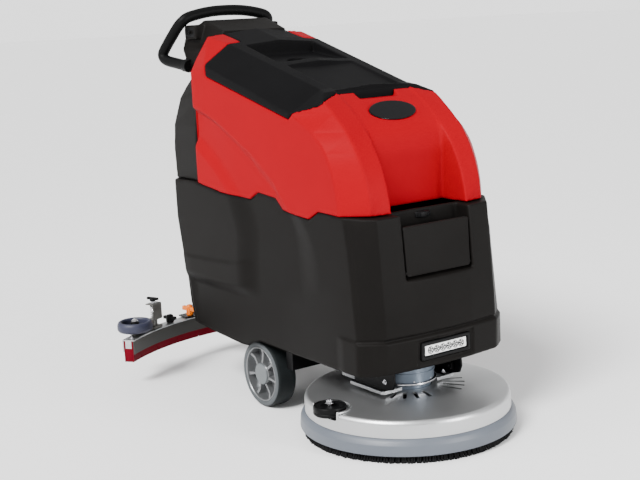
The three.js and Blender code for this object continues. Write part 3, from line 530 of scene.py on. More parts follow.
def add_shells():
    lower = softened("solution_tank", "solution_tank_shell", 3.0, 6, shape_lower)
    piece("solution_tank_shell", lower, SHELL, "chassis", ["solution_tank"], sharp=0)
    upper = softened("recovery_tank", "recovery_tank_shell", 3.0, 6, shape_upper)
    piece("recovery_tank_shell", upper, RED, "recovery_tank", ["recovery_tank"], sharp=0)
    lid = softened("lid", "lid_shell", 2.5, 4)
    piece("lid_shell", lid, LID, "lid", ["lid"], sharp=0)
    neck = softened("console_neck", "console_shell", 3.5, 4)
    piece("console_shell", neck, SHELL, "chassis", ["console_neck"], sharp=0)


# ---------- scrubbing deck ----------
BUMPER_SPOT = (4, -233, 0)
# Two fans of slots: the middle and the pitch in degrees, then the inner and the outer radius.
DECK_SLOTS = ((-34, 15.3, 78, 120), (47.5, 12.5, 86, 141))


def deck_top(radius):
    """The dome's height at a radius."""
    return 98 + 14 * (1 - (radius / 247) ** 2)


def cut_with(obj, cutter_mesh):
    """Subtracts a mesh from a piece and applies the result."""
    cutter = new_object("cutter", cutter_mesh)
    boolean = obj.modifiers.new("cut", 'BOOLEAN')
    boolean.object = cutter
    boolean.operation = 'DIFFERENCE'
    boolean.solver = 'EXACT'
    depsgraph = bpy.context.evaluated_depsgraph_get()
    mesh = bpy.data.meshes.new_from_object(obj.evaluated_get(depsgraph))
    obj.modifiers.clear()
    obj.data = mesh
    bpy.data.objects.remove(cutter)
    shade_smooth(mesh)


def add_deck():
    outside = rounded([(250, 58), (250, 90), (244, 98.5), (200, deck_top(200))], 6, 5)
    dome = [(r, deck_top(r)) for r in (180, 160, 140, 120, 100, 80, 62)]
    inside = [(r, deck_top(r) - 5) for r in (62, 80, 100, 120, 140, 160, 180, 200, 236)]
    profile = outside + dome + inside + [(244, 88), (244, 58), (250, 58)]
    body = Builder().add(*lathe(profile, 160))
    cover = piece("deck_dome", body, DECK, "deck", ["deck_cover"])
    cutters = Builder()
    for middle, pitch, inner, outer in DECK_SLOTS:
        for i in range(4):
            turn = Matrix.Rotation(math.radians(middle + (i - 1.5) * pitch), 3, 'Z')
            cutters.add(*block(inner, outer, -4.4, 4.4, 85, 135, bevel=4.2, segments=3), turn)
    cutters.add(*lathe([(0, 82), (46, 82), (46, 140), (0, 140)], 64), None, BUMPER_SPOT)
    cut_with(cover, cutters.mesh("deck_cutters"))

    cup = Builder()
    cup.add(*lathed([(0, 77), (48, 77), (49, 98), (53, 101.5), (50.5, 105.5), (46, 104.5), (44.6, 99),
                     (44.6, 84), (40, 82.2), (0, 82.2)], 2, 3, 64), None, BUMPER_SPOT)
    cup_obj = piece("roller_cup", cup, DECK, "deck")
    outside_deck = Builder().add(*lathe([(250.4, 40), (400, 40), (400, 160), (250.4, 160), (250.4, 40)], 160))
    cut_with(cup_obj, outside_deck.mesh("cup_trim"))

    skirt = lathed([(259, 20), (263, 20), (262.5, 30), (261, 43), (256, 52), (251, 57.2), (245, 57.6),
                    (245, 50), (251, 47), (256, 40), (259, 20)], 2.0, 3, 160)
    piece("deck_skirt_lip", Builder().add(*skirt), SKIRT, "deck", ["deck_skirt"])
    add_deck_fittings()
    add_bumper()
    add_brush()


def add_deck_fittings():
    screws = Builder()
    for k in range(8):
        a = math.radians(22.5 + 45 * k)
        spot = (64.5 * math.cos(a), 64.5 * math.sin(a), 128)
        bolt(screws, spot, size=3.6, head=3.2, washer=False)
    for hand in (-1, 1):
        for x in (-52, 34):
            bolt(screws, (x, hand * 88, 126.2), size=5, head=3.8)
        for z in (146, 182):
            bolt(screws, (52, hand * 105.2, z), (0, hand, 0), size=4.6, head=3.6)
    piece("deck_screws", screws, ZINC, "deck")

    motor = rounded([(0, 84), (14, 84), (14, 100), (59, 100), (59, 123), (67, 123), (67, 222), (60, 231),
                     (0, 231)], 4, 4)
    fins = Builder().add(*lathe(motor, 96))
    for k in range(5):
        z = 148 + k * 13
        fins.add(*lathed([(66, z), (69.2, z), (69.2, z + 3), (66, z + 3), (66, z)], 1, 2, 96))
    piece("brush_motor_case", fins, MOTOR, "deck", ["brush_motor"])
    ring = lathed([(60, 123.5), (73, 123.5), (73, 128), (68.5, 130), (60, 130), (60, 123.5)], 1, 3, 96)
    piece("motor_base_ring", Builder().add(*ring), ZINC, "deck")
    lead = sweep([(30, 40, 230), (20, 60, 246), (-30, 72, 244), (-90, 70, 236)], 5, 50, 12)
    piece("motor_lead", Builder().add(*lead), HOSE, "deck")


def add_bumper():
    body = Builder()
    profile = rounded([(6, 87), (36, 87), (39.3, 90), (39.3, 94.5), (37.6, 96), (39.3, 97.5), (39.3, 105),
                       (37.5, 109.5), (35.5, 110), (34.5, 107), (6, 107), (6, 87)], 1.2, 4)
    body.add(*lathe(profile, 96), None, BUMPER_SPOT)
    for k in range(24):
        turn = Matrix.Rotation(math.radians(15 * k), 3, 'Z')
        body.add(*block(22, 33.5, -0.8, 0.8, 106, 107.9, bevel=0.5, segments=2), turn, BUMPER_SPOT)
    piece("bumper_wheel", body, PLASTIC, "bumper", ["bumper_roller"])
    pin = Builder()
    profile = [(0, 78), (5.6, 78), (5.6, 112), (9.5, 112), (9.5, 114), (5.4, 114), (5.4, 121), (0, 121)]
    pin.add(*lathed(profile, 1, 3, 40), None, BUMPER_SPOT)
    bolt(pin, (*BUMPER_SPOT[:2], 113.6), size=8, head=5)
    piece("bumper_pin", pin, ZINC, "deck")


def add_brush():
    disc = rounded([(20, 44), (234, 44), (234, 61), (62, 65), (40, 81), (20, 81), (20, 44)], 3, 3)
    piece("brush_disc", Builder().add(*lathe(disc, 128)), BRUSH, "brush", ["brush_block"])
    tufts = Builder()
    base = lathed([(150, 6), (236, 6), (236, 43.5), (150, 43.5), (150, 6)], 3, 2, 96)
    tufts.add(*base)
    rows = [(160, 96), (178, 110), (196, 124), (214, 138), (228, 170), (236, 200), (243, 230)]
    for radius, count in rows:
        for k in range(count):
            a = 2 * math.pi * (k + random.uniform(-0.2, 0.2)) / count
            lean = min(radius + (radius - 205) * 0.22 + random.uniform(-1.5, 1.5), 254.5)
            foot = (lean * math.cos(a), lean * math.sin(a), random.uniform(0.2, 1.6))
            root = (min(radius, 234) * math.cos(a), min(radius, 234) * math.sin(a), 43)
            middle = tuple((f + 1.6 * r) / 2.6 for f, r in zip(foot, root))
            rings = []
            for spot, r in ((root, 2.0), (middle, 2.4), (foot, 3.0)):
                rings.append([(spot[0] + r * math.cos(q), spot[1] + r * math.sin(q), spot[2])
                              for q in (a + math.pi / 3 * j for j in range(6))])
            tufts.add(*ring_skin(rings))
    piece("brush_tufts", tufts, BRISTLE, "brush", ["brush_bristles"])


# ---------- wheels ----------
WHEEL_X, WHEEL_Z, WHEEL_Y = -376, 87.5, 156.5
CASTER_X, CASTER_Z = -625, 37.5
UPRIGHT = Matrix.Rotation(math.radians(-90), 3, 'X')  # turns +z to +y


def add_wheels():
    for side, hand in (("left", 1), ("right", -1)):
        turn = UPRIGHT if hand > 0 else UPRIGHT @ Matrix.Diagonal((1, 1, -1))
        spot = (WHEEL_X, hand * WHEEL_Y, WHEEL_Z)
        wall = lathed([(71.5, -27.5), (80, -28.4), (84, -27), (84, 27), (80, 28.4), (74, 27.6),
                       (71.5, 28), (71.5, -27.5)], 3, 4, 128)
        piece(f"tyre_wall_{side}", Builder().add(*wall, turn, spot), TYRE_PAINTED_LIGHT, f"wheel_{side}", [f"tyre_{side}"])
        # The tread takes the darker rubber: painted shade.
        band = lathed([(80, -26), (84.6, -26.4), (87.2, -21), (87.4, -10), (87.4, 10), (87.2, 21),
                       (84.6, 26.4), (80, 26), (80, -26)], 2.5, 4, 128)
        piece(f"tyre_tread_{side}", Builder().add(*band, turn, spot), RUBBER_PAINTED_SHADE, f"wheel_{side}")
        add_rim(side, turn, spot)


def add_rim(side, turn, spot):
    """A dished rim: seven blades run from the hub out to a bright ring."""
    rim = Builder()
    barrel = rounded([(66, -26), (71.2, -27), (71.2, 27.6), (69.2, 28.2), (67.4, 26), (65, 4), (64, -8),
                      (66, -26)], 1.2, 3)
    rim.add(*lathe(barrel, 96), turn, spot)
    web = rounded([(14, -6), (65.5, -6), (65.5, 1), (30, 5), (14, 5), (14, -6)], 1, 2)
    rim.add(*lathe(web, 96), turn, spot)
    for k in range(7):
        swing = turn @ Matrix.Rotation(math.radians(360 / 7 * k + 14), 3, 'Z')
        rings = []
        for r, half, top in ((24, 9, 22), (38, 6.5, 19), (54, 6.5, 17), (68, 10, 22)):
            rings.append([(r, -half, -4), (r, half, -4), (r, half * 0.45, top), (r, -half * 0.45, top)])
        rim.add(*ring_skin(rings), swing, spot)
    hub = rounded([(0, -24), (27, -24), (27, -4), (29.5, 2), (29.5, 20), (27, 24), (14, 24.5),
                   (0, 24.5)], 2, 4)
    rim.add(*lathe(hub, 64), turn, spot)
    piece(f"wheel_rim_{side}", rim, RIM, f"wheel_{side}", [f"rim_{side}"], sharp=30)
    cap = lathed([(0, 22), (28, 22), (28, 25.5), (25.5, 27.4), (0, 27.8)], 1.5, 4, 64)
    piece(f"hub_cap_{side}", Builder().add(*cap, turn, spot), CAP, f"wheel_{side}")


def add_caster():
    wheel = lathed([(5.8, -11.5), (34, -12), (37.4, -8), (37.4, 8), (34, 12), (5.8, 11.5),
                    (5.8, -11.5)], 2.5, 4, 64)
    tyre = Builder().add(*wheel, UPRIGHT, (CASTER_X, 0, CASTER_Z))
    # The caster's tyre takes the same darker rubber: painted shade.
    piece("caster_tyre", tyre, RUBBER_PAINTED_SHADE, "caster_wheel", ["caster_wheel"])
    nuts = Builder()
    for hand in (-1, 1):
        bolt(nuts, (CASTER_X, hand * 19.2, CASTER_Z), (0, hand, 0), size=6.5, head=4.5)
    piece("caster_nuts", nuts, ZINC, "caster")


# ---------- squeegee ----------
BLADE_TOP, BLADE_LOW = 130, 70
SLOT_PITCH, SLOT_HALF = 8.2, 0.2  # degrees along the curve
SLOT_HEIGHT = 13
RAIL_TOP = 133.5
WING_ANGLE, CLAMP_ANGLE, BRACKET_ANGLE = 9.9, 17.5, 23.9
ROLLER_X, ROLLER_Y = -820, 318
ROLLER_LIFT = 10
PORT_SPOT = (-900, 0, 0)


def add_squeegee():
    channel = Builder()
    channel.add(*arc_sweep([(582.5, 130.6), (619.5, 130.6), (619.5, 133), (582.5, 133)]))
    channel.add(*arc_sweep([(592.8, 108.5), (611.2, 108.5), (611.2, 130.6), (592.8, 130.6)]))
    channel.add(*arc_sweep([(616.8, 98.5), (619.5, 98.5), (619.5, 131), (616.8, 131)]))
    piece("squeegee_rail", channel, STEEL, "squeegee", ["squeegee_channel"])
    band = Builder().add(*arc_sweep([(584.2, 92.5), (587.3, 92), (587.3, 130), (584.2, 129.5)]))
    piece("front_band", band, BAND, "squeegee", ["squeegee_front_band"])
    add_blade("front_rubber", 588, 592, True, "front_blade")
    add_blade("rear_rubber", 612, 616, False, "rear_blade")
    screws = Builder()
    for angle in (-35, -29, -11, 11, 29, 35):
        bolt(screws, (*on_curve(angle, 600), 132.8), size=3.6, head=2.4)
    piece("rail_screws", screws, ZINC, "squeegee")
    add_yoke()
    for side, hand in (("left", 1), ("right", -1)):
        add_end(side, hand)


def add_blade(name, inner, outer, slotted, node):
    """A rubber blade; the front one has slots that let water through under its edge."""
    count = 360
    rings = []
    for i in range(count + 1):
        a = SQUEEGEE_REACH * (2 * i / count - 1)
        from_slot = abs(math.degrees(a + SQUEEGEE_REACH) % SLOT_PITCH - SLOT_PITCH / 2)
        low = BLADE_LOW + (SLOT_HEIGHT if slotted and from_slot < SLOT_HALF else 0)
        section = [(inner, low + 0.4), (inner + 0.8, low), (outer - 0.8, low), (outer, low + 0.4),
                   (outer, BLADE_TOP), (inner, BLADE_TOP)]
        rings.append(curve_ring(a, section))
    blade = Builder().add(*ring_skin(rings))
    if not slotted:
        for angle in (-36.7, 36.7):
            turn = Matrix.Rotation(math.radians(-angle), 3, 'Z')
            end_flap = block(-11, 9.5, -1.5, 1.5, BLADE_LOW, 107.5, bevel=0.6)
            blade.add(*end_flap, turn, (*on_curve(angle, 602), 0))
    piece(name, blade, RED_RUBBER, "squeegee", [node])


def add_yoke():
    port = lathed([(19, 133.5), (31, 133.5), (31, 137.5), (24, 140), (23, 150), (23, 182), (24.5, 184),
                   (24.5, 187), (22, 188), (19, 188), (19, 133.5)], 1.2, 3, 64)
    piece("suction_neck", Builder().add(*port, None, PORT_SPOT), PLASTIC, "squeegee", ["suction_port"])
    screws = Builder()
    for x, y in ((-926, -50), (-926, 50), (-872, -46), (-872, 46)):
        bolt(screws, (x + 6, y, 137.6), size=5, head=3.6)
    bolt(screws, (-735, 0, 150), size=9, head=6)
    piece("yoke_bolts", screws, ZINC, "squeegee")


def wing_knob(radius, wing, height, half):
    """A fluted boss with a bar through it."""
    knob = Builder()
    profile = [(0, 0), (radius, 0), (radius, height * 0.82), (radius * 0.7, height), (0, height)]
    knob.add(*lathed(profile, 2, 4, 48))
    knob.add(*block(-wing, wing, -half, half, height * 0.4, height * 0.8, bevel=half * 0.45, segments=4))
    for k in range(8):
        turn = Matrix.Rotation(math.radians(45 * k), 3, 'Z')
        knob.add(*block(radius * 0.8, radius + 1.4, -1.6, 1.6, height * 0.1, height * 0.72, bevel=0.9), turn)
    return knob


def add_end(side, hand):
    """The fittings of one end: knobs, the sprung height bracket and the guide roller."""
    add_end_knob(side, hand, "wing", WING_ANGLE, wing_knob(9.5, 30, 32, 6), 138.2, ORANGE)
    x, y = on_curve(hand * WING_ANGLE)
    foot = lathed([(0, 133.2), (17, 133.2), (17, 136), (11, 138), (0, 138)], 1, 3, 48)
    piece(f"wing_washer_{side}", Builder().add(*foot, None, (x, y, 0)), PLASTIC, "squeegee")
    add_end_knob(side, hand, "clamp", CLAMP_ANGLE, wing_knob(10.5, 23, 24, 6), 133.7, PLASTIC)
    bracket_spot = (*on_curve(hand * BRACKET_ANGLE), RAIL_TOP)
    roller_spot = (ROLLER_X, hand * ROLLER_Y, RAIL_TOP)
    swing = Matrix.Rotation(math.radians(-hand * BRACKET_ANGLE), 3, 'Z')
    add_height_bracket(side, bracket_spot, roller_spot, swing)
    add_height_screw(side, bracket_spot, swing)
    add_guide_roller(side, hand)


def add_end_knob(side, hand, kind, angle, knob, height, mat):
    turn = Matrix.Rotation(math.radians(-hand * angle), 3, 'Z')
    nut = Builder().add(knob.verts, knob.faces, turn, (*on_curve(hand * angle), height))
    piece(f"{kind}_nut_{side}", nut, mat, f"{kind}_knob_{side}", [f"{kind}_knob_{side}"])


def add_height_bracket(side, spot, roller_spot, swing):
    """A C-shaped clip on a post, its arm out to the roller's spindle, and the spring inside it."""
    bracket = Builder()
    strip = rounded_loop([(-13, 26), (15, 26), (15, 74), (-13, 74), (-13, 71.2), (12.2, 71.2), (12.2, 28.8),
                          (-13, 28.8)], 4, 5)
    rings = [[(x, y, z) for x, z in strip] for y in (-18.8, -18.2, 18.2, 18.8)]
    bracket.add(*ring_skin(rings), swing, spot)
    bracket.add(*lathed([(0, 0), (9, 0), (9, 27), (0, 27)], 0.8, 2, 32), None, spot)
    bracket.add(*block(-13, 15, -18.8, 18.8, 0, 8.6, bevel=2, segments=2), swing, spot)
    reach = Vector(roller_spot) - Vector(spot)
    turn = Matrix.Rotation(math.atan2(reach.y, reach.x), 3, 'Z')
    far = reach.length + 11
    bracket.add(*block(3, far, -11.5, 11.5, 0, 3, bevel=1, segments=2), turn, spot)
    bracket.add(*block(reach.length - 10, far, -10, 10, 2.4, 9, bevel=2, segments=3), turn, spot)
    bracket.add(*lathed([(0, 0), (5, 0), (5, 45.5), (0, 45.5)], 1, 2, 32), None, roller_spot)
    name = f"roller_bracket_{side}"
    # The bracket is in the darker steel: painted shade.
    piece(name, bracket, STEEL_PAINTED_SHADE, "squeegee", [f"end_bracket_{side}"])

    full = 2 * math.pi * 5
    coil = [(9 * math.cos(t), 9 * math.sin(t), 30.5 + 32 * t / full) for t in np.linspace(0, full, 61)]
    spring = Builder().add(*sweep(coil, 1.5, 300, 8), swing, spot)
    bolt(spring, (spot[0], spot[1], RAIL_TOP + 74), size=6.2, head=3.4)
    bolt(spring, (roller_spot[0], roller_spot[1], RAIL_TOP + 39.5), size=7, head=4.5)
    piece(f"height_spring_{side}", spring, ZINC, "squeegee")


def add_height_screw(side, spot, swing):
    handle = Builder()
    handle.add(*lathed([(0, 2), (4.4, 2), (4.4, 84), (0, 84)], 1, 2, 32), swing, spot)
    handle.add(*lathed([(0, 80), (9, 80), (9, 87), (6, 90), (0, 90)], 1.5, 3, 40), swing, spot)
    handle.add(*block(-20, 20, -4.6, 4.6, 83, 91, bevel=3.2, segments=4), swing, spot)
    handle.add(*lathed([(0, 64), (10, 64), (10, 70.8), (0, 70.8)], 1, 3, 6), swing, spot)
    piece(f"height_screw_{side}", handle, BLACK_METAL, f"height_knob_{side}", [f"height_knob_{side}"])


def add_guide_roller(side, hand):
    """A soft tyre on a ribbed core."""
    spot = (ROLLER_X, hand * ROLLER_Y, RAIL_TOP + ROLLER_LIFT)
    body = f"end_roller_{side}"
    tyre = lathed([(36, 3), (45, 1.5), (50, 8), (50, 22), (46, 29.5), (40, 30.5), (36.5, 26),
                   (36, 3)], 3.5, 6, 96)
    piece(f"guide_roller_{side}", Builder().add(*tyre, None, spot), ROLLER, body, [body])
    core = Builder()
    profile = rounded([(5.8, 0.5), (36.5, 3), (36.5, 8), (14, 8), (12, 27), (5.8, 27), (5.8, 0.5)], 1.5, 3)
    core.add(*lathe(profile, 64), None, spot)
    for k in range(6):
        turn = Matrix.Rotation(math.radians(60 * k), 3, 'Z')
        core.add(*block(11, 37, -1.5, 1.5, 6, 15, bevel=1, segments=2), turn, spot)
    piece(f"roller_core_{side}", core, PLASTIC, body)


# ---------- front: lamp, filler and badge ----------
LAMP_Z = 232
LAMP_FACE = 149.8


def add_lamp():
    bezel = Builder()
    corners = [(-73, 211), (73, 211), (73, 253), (-73, 253)]
    rings = []
    for x, inset in ((138, 0), (151.4, 0), (153, 1.5), (153, 6.5), (151.4, 8), (147.5, 8.2)):
        hole = [(y - math.copysign(inset, y), z - math.copysign(inset, z - LAMP_Z)) for y, z in corners]
        rings.append([(x, y, z) for y, z in rounded_loop(hole, max(2.5, 6 - inset * 0.5), 4)])
    bezel.add(*ring_skin(rings))
    piece("lamp_frame", bezel, PLASTIC, "chassis", ["headlight_housing"])
    panel = Builder().add(*block(147, 150, -62, 62, 220.5, 243.5, bevel=0.8))
    piece("lamp_panel", panel, LAMP, "chassis", ["headlight_lens"])
    cups = Builder()
    turn = Vector((0, 0, 1)).rotation_difference(Vector((1, 0, 0))).to_matrix()
    ring = lathed([(7.2, 0), (8.6, 0), (8.4, 1.8), (7.4, 1.8), (7.2, 0)], 0.4, 2, 40)
    dot = lathed([(0, 0), (2.1, 0), (1.9, 1.0), (0, 1.7)], 0.5, 3, 20)
    for k in range(6):
        y = -46 + 18.4 * k
        cups.add(*ring, turn, (LAMP_FACE, y, LAMP_Z))
        for j in range(5):
            a = 2 * math.pi * j / 5 + 0.5
            cups.add(*dot, turn, (LAMP_FACE, y + 4.5 * math.cos(a), LAMP_Z + 4.5 * math.sin(a)))
        cups.add(*dot, turn, (LAMP_FACE, y, LAMP_Z))
    piece("lamp_cups", cups, LAMP_DOT, "chassis")


def add_filler():
    door = Builder()
    edge = rounded_loop([(-94.5, 407.5), (94.5, 407.5), (97, 521), (-97, 521)], 7, 5)
    rings = []
    for back, inset in ((-7, 0), (-0.5, 0), (0.8, 0.6), (1.2, 1.8)):
        wide, tall = (92 - inset) / 92, (55 - inset) / 55
        rings.append([(134 + back - (z - 410) * 0.0545, y * wide, 465 + (z - 465) * tall) for y, z in edge])
    door.add(*ring_skin(rings))
    for hand in (-1, 1):
        door.add(*lathed([(0, 0), (3.6, 0), (3.6, 5), (0, 5)], 1, 2, 24), UPRIGHT,
                 (130.5, hand * 94.5 - 2.5, 416))
    piece("filler_flap", door, SHELL, "fill_door", ["fill_door"])
    cap_spot = (62, 0, 528)
    cap = Builder()
    cap.add(*lathed([(0, 0), (30, 0), (30, 12), (26, 15), (0, 15)], 2.5, 4, 64), None, cap_spot)
    for k in range(16):
        turn = Matrix.Rotation(math.radians(22.5 * k), 3, 'Z')
        cap.add(*block(28, 31.5, -1.6, 1.6, 1, 11, bevel=1), turn, cap_spot)
    piece("filler_cap", cap, PLASTIC, "chassis")


def add_badge():
    turn = Matrix.Rotation(math.radians(43), 3, 'Y')
    profile = rounded([(0, 0), (1, 0), (1, 3.4), (0.965, 4.2), (0, 4.2)], 0.02, 3)
    verts, faces = lathe(profile, 96)
    verts = [(x * 30, y * 67, z) for x, y, z in verts]
    badge = Builder().add(verts, faces, turn, (-16.8, 0, 768.6))
    piece("badge_oval", badge, BADGE, "recovery_tank", ["badge_plate"])


# ---------- console, handle and controls ----------
HANDLE = [(-706, 152, 877), (-760, 157, 884), (-806, 165, 893), (-822, 167, 906), (-814, 163, 925),
          (-770, 147, 978), (-752, 138, 996), (-748, 118, 1008), (-747, 60, 1019)]
PANEL_SLOPE = math.atan2(66, 100)
CONTROL_ROW = 52
KEY_Y, BUTTON_Y, DIAL_Y = -70, -25, 68


def on_panel(builder, shape, down, y):
    """Adds a shape on the console's slope, `down` millimetres from its top."""
    turn = Matrix.Rotation(-PANEL_SLOPE, 3, 'Y')
    spot = (-700 - down * math.cos(PANEL_SLOPE), y, 998 - down * math.sin(PANEL_SLOPE))
    builder.add(*shape, turn, spot)


def add_handle():
    points = HANDLE + [(-747, 0, 1022)] + [(x, -y, z) for x, y, z in reversed(HANDLE)]
    loop = Builder().add(*sweep(points, 14.8, 220, 32))
    piece("handle_bar", loop, GRIP, "chassis", ["handle_loop"])
    collars = Builder()
    for hand in (-1, 1):
        collars.add(*sweep([(-704, hand * 151.6, 876.8), (-722, hand * 153.5, 879)], 17.5, 12, 32))
        collars.add(*block(-748, -694, hand * 121 - 13, hand * 121 + 13, 950, 984, bevel=4, segments=3))
        bolt(collars, (-721, hand * 134.5, 967), (0, hand, 0), size=4.5, head=3, washer=False)
    piece("handle_clamps", collars, PLASTIC, "chassis")


def add_controls():
    panel = Builder()
    on_panel(panel, block(-38, 38, -98, 98, -2.5, 0.6, bevel=1.2), 48, 0)
    plate_obj = piece("panel_plate", panel, PANEL, "chassis", ["control_panel"])
    holes = Builder()
    for y, radius in ((KEY_Y, 9.6), (BUTTON_Y, 11.6), (DIAL_Y, 6.6)):
        on_panel(holes, lathe([(0, -12), (radius, -12), (radius, 12), (0, 12)], 40), CONTROL_ROW, y)
    cut_with(plate_obj, holes.mesh("panel_holes"))

    details = Builder()
    for k in range(10):
        on_panel(details, block(-2.5, 2.5, -2, 2, 0.2, 1.8, bevel=0.7), 22, -22 + 5.5 * k)
    for y, radius in ((KEY_Y, 12.5), (BUTTON_Y, 14.5)):
        hole = radius - 2.6
        ring = rounded([(hole, 0.4), (radius, 0.4), (radius, 1.8), (hole, 1.8), (hole, 0.4)], 0.4, 2)
        on_panel(details, lathe(ring, 48), CONTROL_ROW, y)
    for k in range(11):
        a = math.radians(-135 + 27 * k)
        x, y = 22 * math.cos(a), 22 * math.sin(a)
        on_panel(details, block(x - 1, x + 1, y - 1, y + 1, 0.3, 1.3, bevel=0.4), CONTROL_ROW, DIAL_Y)
    piece("panel_marks", details, LAMP, "chassis")

    screen = Builder()
    on_panel(screen, block(-9, 9, 4, 42, 0.3, 1.4, bevel=0.6), 50, 0)
    piece("panel_window", screen, BADGE, "chassis")

    key = Builder()
    barrel = lathed([(0, -2), (9, -2), (9, 4), (7, 6), (0, 6)], 1, 3, 48)
    on_panel(key, barrel, CONTROL_ROW, KEY_Y)
    on_panel(key, block(-8.5, 8.5, -1.2, 1.2, 5, 15, bevel=0.8), CONTROL_ROW, KEY_Y)
    on_panel(key, block(-10, 10, -1.6, 1.6, 12, 23.5, bevel=1.4, segments=3), CONTROL_ROW, KEY_Y)
    piece("key_and_barrel", key, ZINC, "key_switch", ["key_switch"])
    button = Builder()
    cap = lathed([(0, -2), (11, -2), (11, 4.5), (8, 6), (0, 5.2)], 1.5, 4, 48)
    on_panel(button, cap, CONTROL_ROW, BUTTON_Y)
    piece("start_button", button, GREEN, "brush_button", ["brush_button"])
    knob = Builder()
    dial = rounded([(0, -2), (6, -2), (6, 2), (16, 2), (15, 15), (12, 16), (0, 16)], 1.2, 3)
    on_panel(knob, lathe(dial, 64), CONTROL_ROW, DIAL_Y)
    for k in range(18):
        a = math.radians(20 * k)
        ridge = block(14.6, 16.2, -1, 1, 3, 14, bevel=0.6)
        turned = [Matrix.Rotation(a, 3, 'Z') @ Vector(v) for v in ridge[0]]
        on_panel(knob, (turned, ridge[1]), CONTROL_ROW, DIAL_Y)
    piece("speed_dial", knob, PLASTIC, "speed_knob", ["speed_knob"])


def ribbed_hose(route, radius, rib, pitch, plain_start, plain_end, cuff, count):
    """A hose that has ribs between the two distances, and a plain cuff of its own radius past them."""
    def at(s):
        if plain_start < s < plain_end:
            return radius + rib * math.sin(2 * math.pi * s / pitch)
        return cuff
    return Builder().add(*sweep(route, at, count, 24))


def add_hoses():
    suction = [(-900, 0, 190), (-900, 0, 230), (-894, 0, 300), (-872, 0, 380), (-834, 0, 440), (-796, 0, 466),
               (-758, 0, 470)]
    tube = ribbed_hose(suction, 19.3, 1.5, 7.0, 24, 330, 20.8, 420)
    piece("suction_tube", tube, HOSE, "chassis", ["suction_hose"])
    drain = [(-775, 120, 724), (-785, 120, 706), (-785, 120, 680), (-784, 120, 560), (-782, 120, 420),
             (-780, 120, 300)]
    tube = ribbed_hose(drain, 17.4, 1.4, 6.5, -1, 385, 18.6, 480)
    piece("drain_tube", tube, HOSE, "chassis", ["drain_hose"])
    plug = Builder()
    end = lathed([(0, 292), (20.5, 292), (20.5, 312), (0, 312)], 2, 3, 48)
    plug.add(*end, None, (-780, 120, 0))
    for z in (390, 620):
        clip = [(18.6, z), (20.6, z), (20.6, z + 12), (18.6, z + 12), (18.6, z)]
        plug.add(*lathed(clip, 0.8, 2, 48), None, (-782.5, 120, 0))
        plug.add(*block(-766, -752, 112, 128, z + 1, z + 11, bevel=2))
    piece("drain_plug", plug, RED_LAMP, "chassis")


def add_batteries():
    details = Builder()
    caps = Builder()
    for hand in (-1, 1):
        for k in range(6):
            spot = (-510 + 45 * k, hand * 120, 487.5)
            caps.add(*lathed([(0, 0), (9, 0), (9, 5), (7, 6.5), (0, 6.5)], 1, 3, 32), None, spot)
        for x in (-535, -255):
            bolt(details, (x, hand * 40, 499.6), size=6.5, head=4)
        cable = [(-255, hand * 40, 506), (-235, hand * 34, 512), (-232, hand * 16, 512), (-246, 0, 512)]
        caps.add(*sweep(cable, 4, 40, 12))
    piece("battery_caps", caps, RED_LAMP, "chassis")
    piece("battery_nuts", details, BRASS, "chassis")


# ---------- carried-over CAD nodes ----------
KEPT = (
    (BLACK_METAL, ("chassis_frame", "transaxle", "deck_bracket_left", "deck_bracket_right", "deck_lower_link",
                   "deck_upper_link", "squeegee_lower_arm", "squeegee_upper_arm", "squeegee_carrier",
                   "squeegee_yoke", "squeegee_lever", "brush_pedal")),
    (BATTERY, ("battery_left", "battery_right")),
    (STEEL, ("vacuum_motor", "caster_fork", "deck_plate")),
    (PLASTIC, ("float_filter", "drive_paddle")),
)


def finish_kept_nodes():
    for mat, name in ((mat, name) for mat, names in KEPT for name in names):
        obj = nodes[name]
        for slot in obj.material_slots:
            slot.material = mat
        if not obj.material_slots:
            obj.data.materials.append(mat)
        bevel = obj.modifiers.new("soft_edges", 'BEVEL')
        bevel.width = 0.0012
        bevel.segments = 2
        bevel.limit_method = 'ANGLE'
        bevel.angle_limit = math.radians(40)


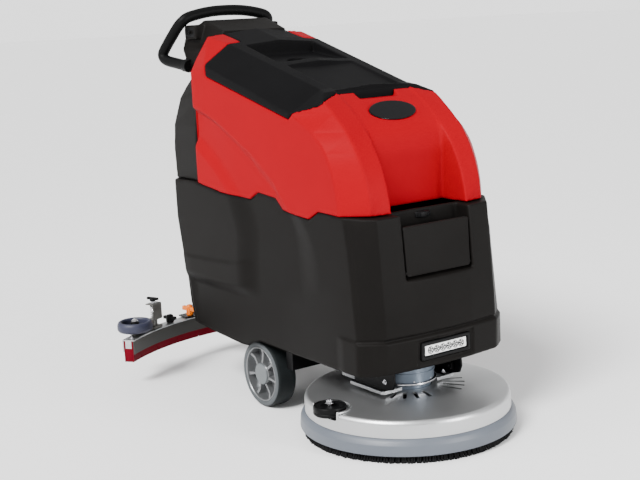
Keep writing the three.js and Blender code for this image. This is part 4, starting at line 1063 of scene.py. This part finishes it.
# ---------- stage ----------
def add_stage():
    floor = bpy.data.meshes.new("floor")
    half = 90
    corners = [(-half, -half, 0), (half, -half, 0), (half, half, 0), (-half, half, 0)]
    floor.from_pydata(corners, [], [(0, 1, 2, 3)])
    obj = new_object("floor", floor)
    floor.materials.append(material("pale_floor", (0.9, 0.9, 0.9), 0.85, vary=0.003, ior=1.1))

    def area(name, spot, aim, size, power):
        lamp = bpy.data.lights.new(name, 'AREA')
        lamp.shape = 'RECTANGLE'
        lamp.size, lamp.size_y = size
        lamp.energy = power
        holder = new_object(name, lamp)
        holder.location = spot
        holder.rotation_euler = (Vector(aim) - Vector(spot)).to_track_quat('-Z', 'Y').to_euler()

    sun = bpy.data.lights.new("soft_sun", 'SUN')
    sun.energy = 5.8
    sun.angle = math.radians(22)
    holder = new_object("soft_sun", sun)
    holder.rotation_euler = Vector((-0.3, 1.0, -1.05)).to_track_quat('-Z', 'Y').to_euler()
    area("key_light", (-0.6, -3.2, 2.6), (0, 0, 0.5), (2.2, 1.6), 60)
    area("front_light", (3.6, 0.9, 1.4), (0.4, 0, 0.4), (1.0, 1.8), 110)


def add_sky():
    """A sky that is brightest low down, so that the floor runs into it without a line."""
    world = bpy.data.worlds.new("studio")
    bpy.context.scene.world = world
    world.use_nodes = True
    tree = world.node_tree
    coords = add_node(tree, "TexCoord")
    split = add_node(tree, "SeparateXYZ")
    ramp = add_node(tree, "ValToRGB")
    low, high = ramp.color_ramp.elements
    low.position = 0.03
    low.color = (1, 1, 1, 1)
    high.position = 0.22
    high.color = (0.38, 0.38, 0.38, 1)
    tree.links.new(coords.outputs["Generated"], split.inputs["Vector"])
    tree.links.new(split.outputs["Z"], ramp.inputs["Fac"])
    tree.links.new(ramp.outputs["Color"], tree.nodes["Background"].inputs["Color"])
    tree.nodes["Background"].inputs["Strength"].default_value = 1.95


def add_camera():
    azimuth, pitch, roll = math.radians(55.45), math.radians(10.64), math.radians(-2.82)
    forward = Vector((-math.sin(azimuth) * math.cos(pitch), math.cos(azimuth) * math.cos(pitch),
                      -math.sin(pitch)))
    level = Vector((math.cos(azimuth), math.sin(azimuth), 0))
    upright = level.cross(forward)
    right = level * math.cos(roll) + upright * math.sin(roll)
    up = upright * math.cos(roll) - level * math.sin(roll)
    lens = bpy.data.cameras.new("camera")
    lens.sensor_width = 36
    lens.lens = 67.5
    camera = new_object("camera", lens)
    turn = Matrix((right, up, -forward)).transposed().to_4x4()
    camera.matrix_world = Matrix.Translation((2.195 + DECK_X, -1.746, 0.998)) @ turn
    bpy.context.scene.camera = camera


add_camera()
add_stage()
add_sky()
finish_kept_nodes()
add_shells()
add_deck()
add_wheels()
add_caster()
add_squeegee()
add_lamp()
add_filler()
add_badge()
add_handle()
add_controls()
add_hoses()
add_batteries()

bpy.context.view_layer.update()
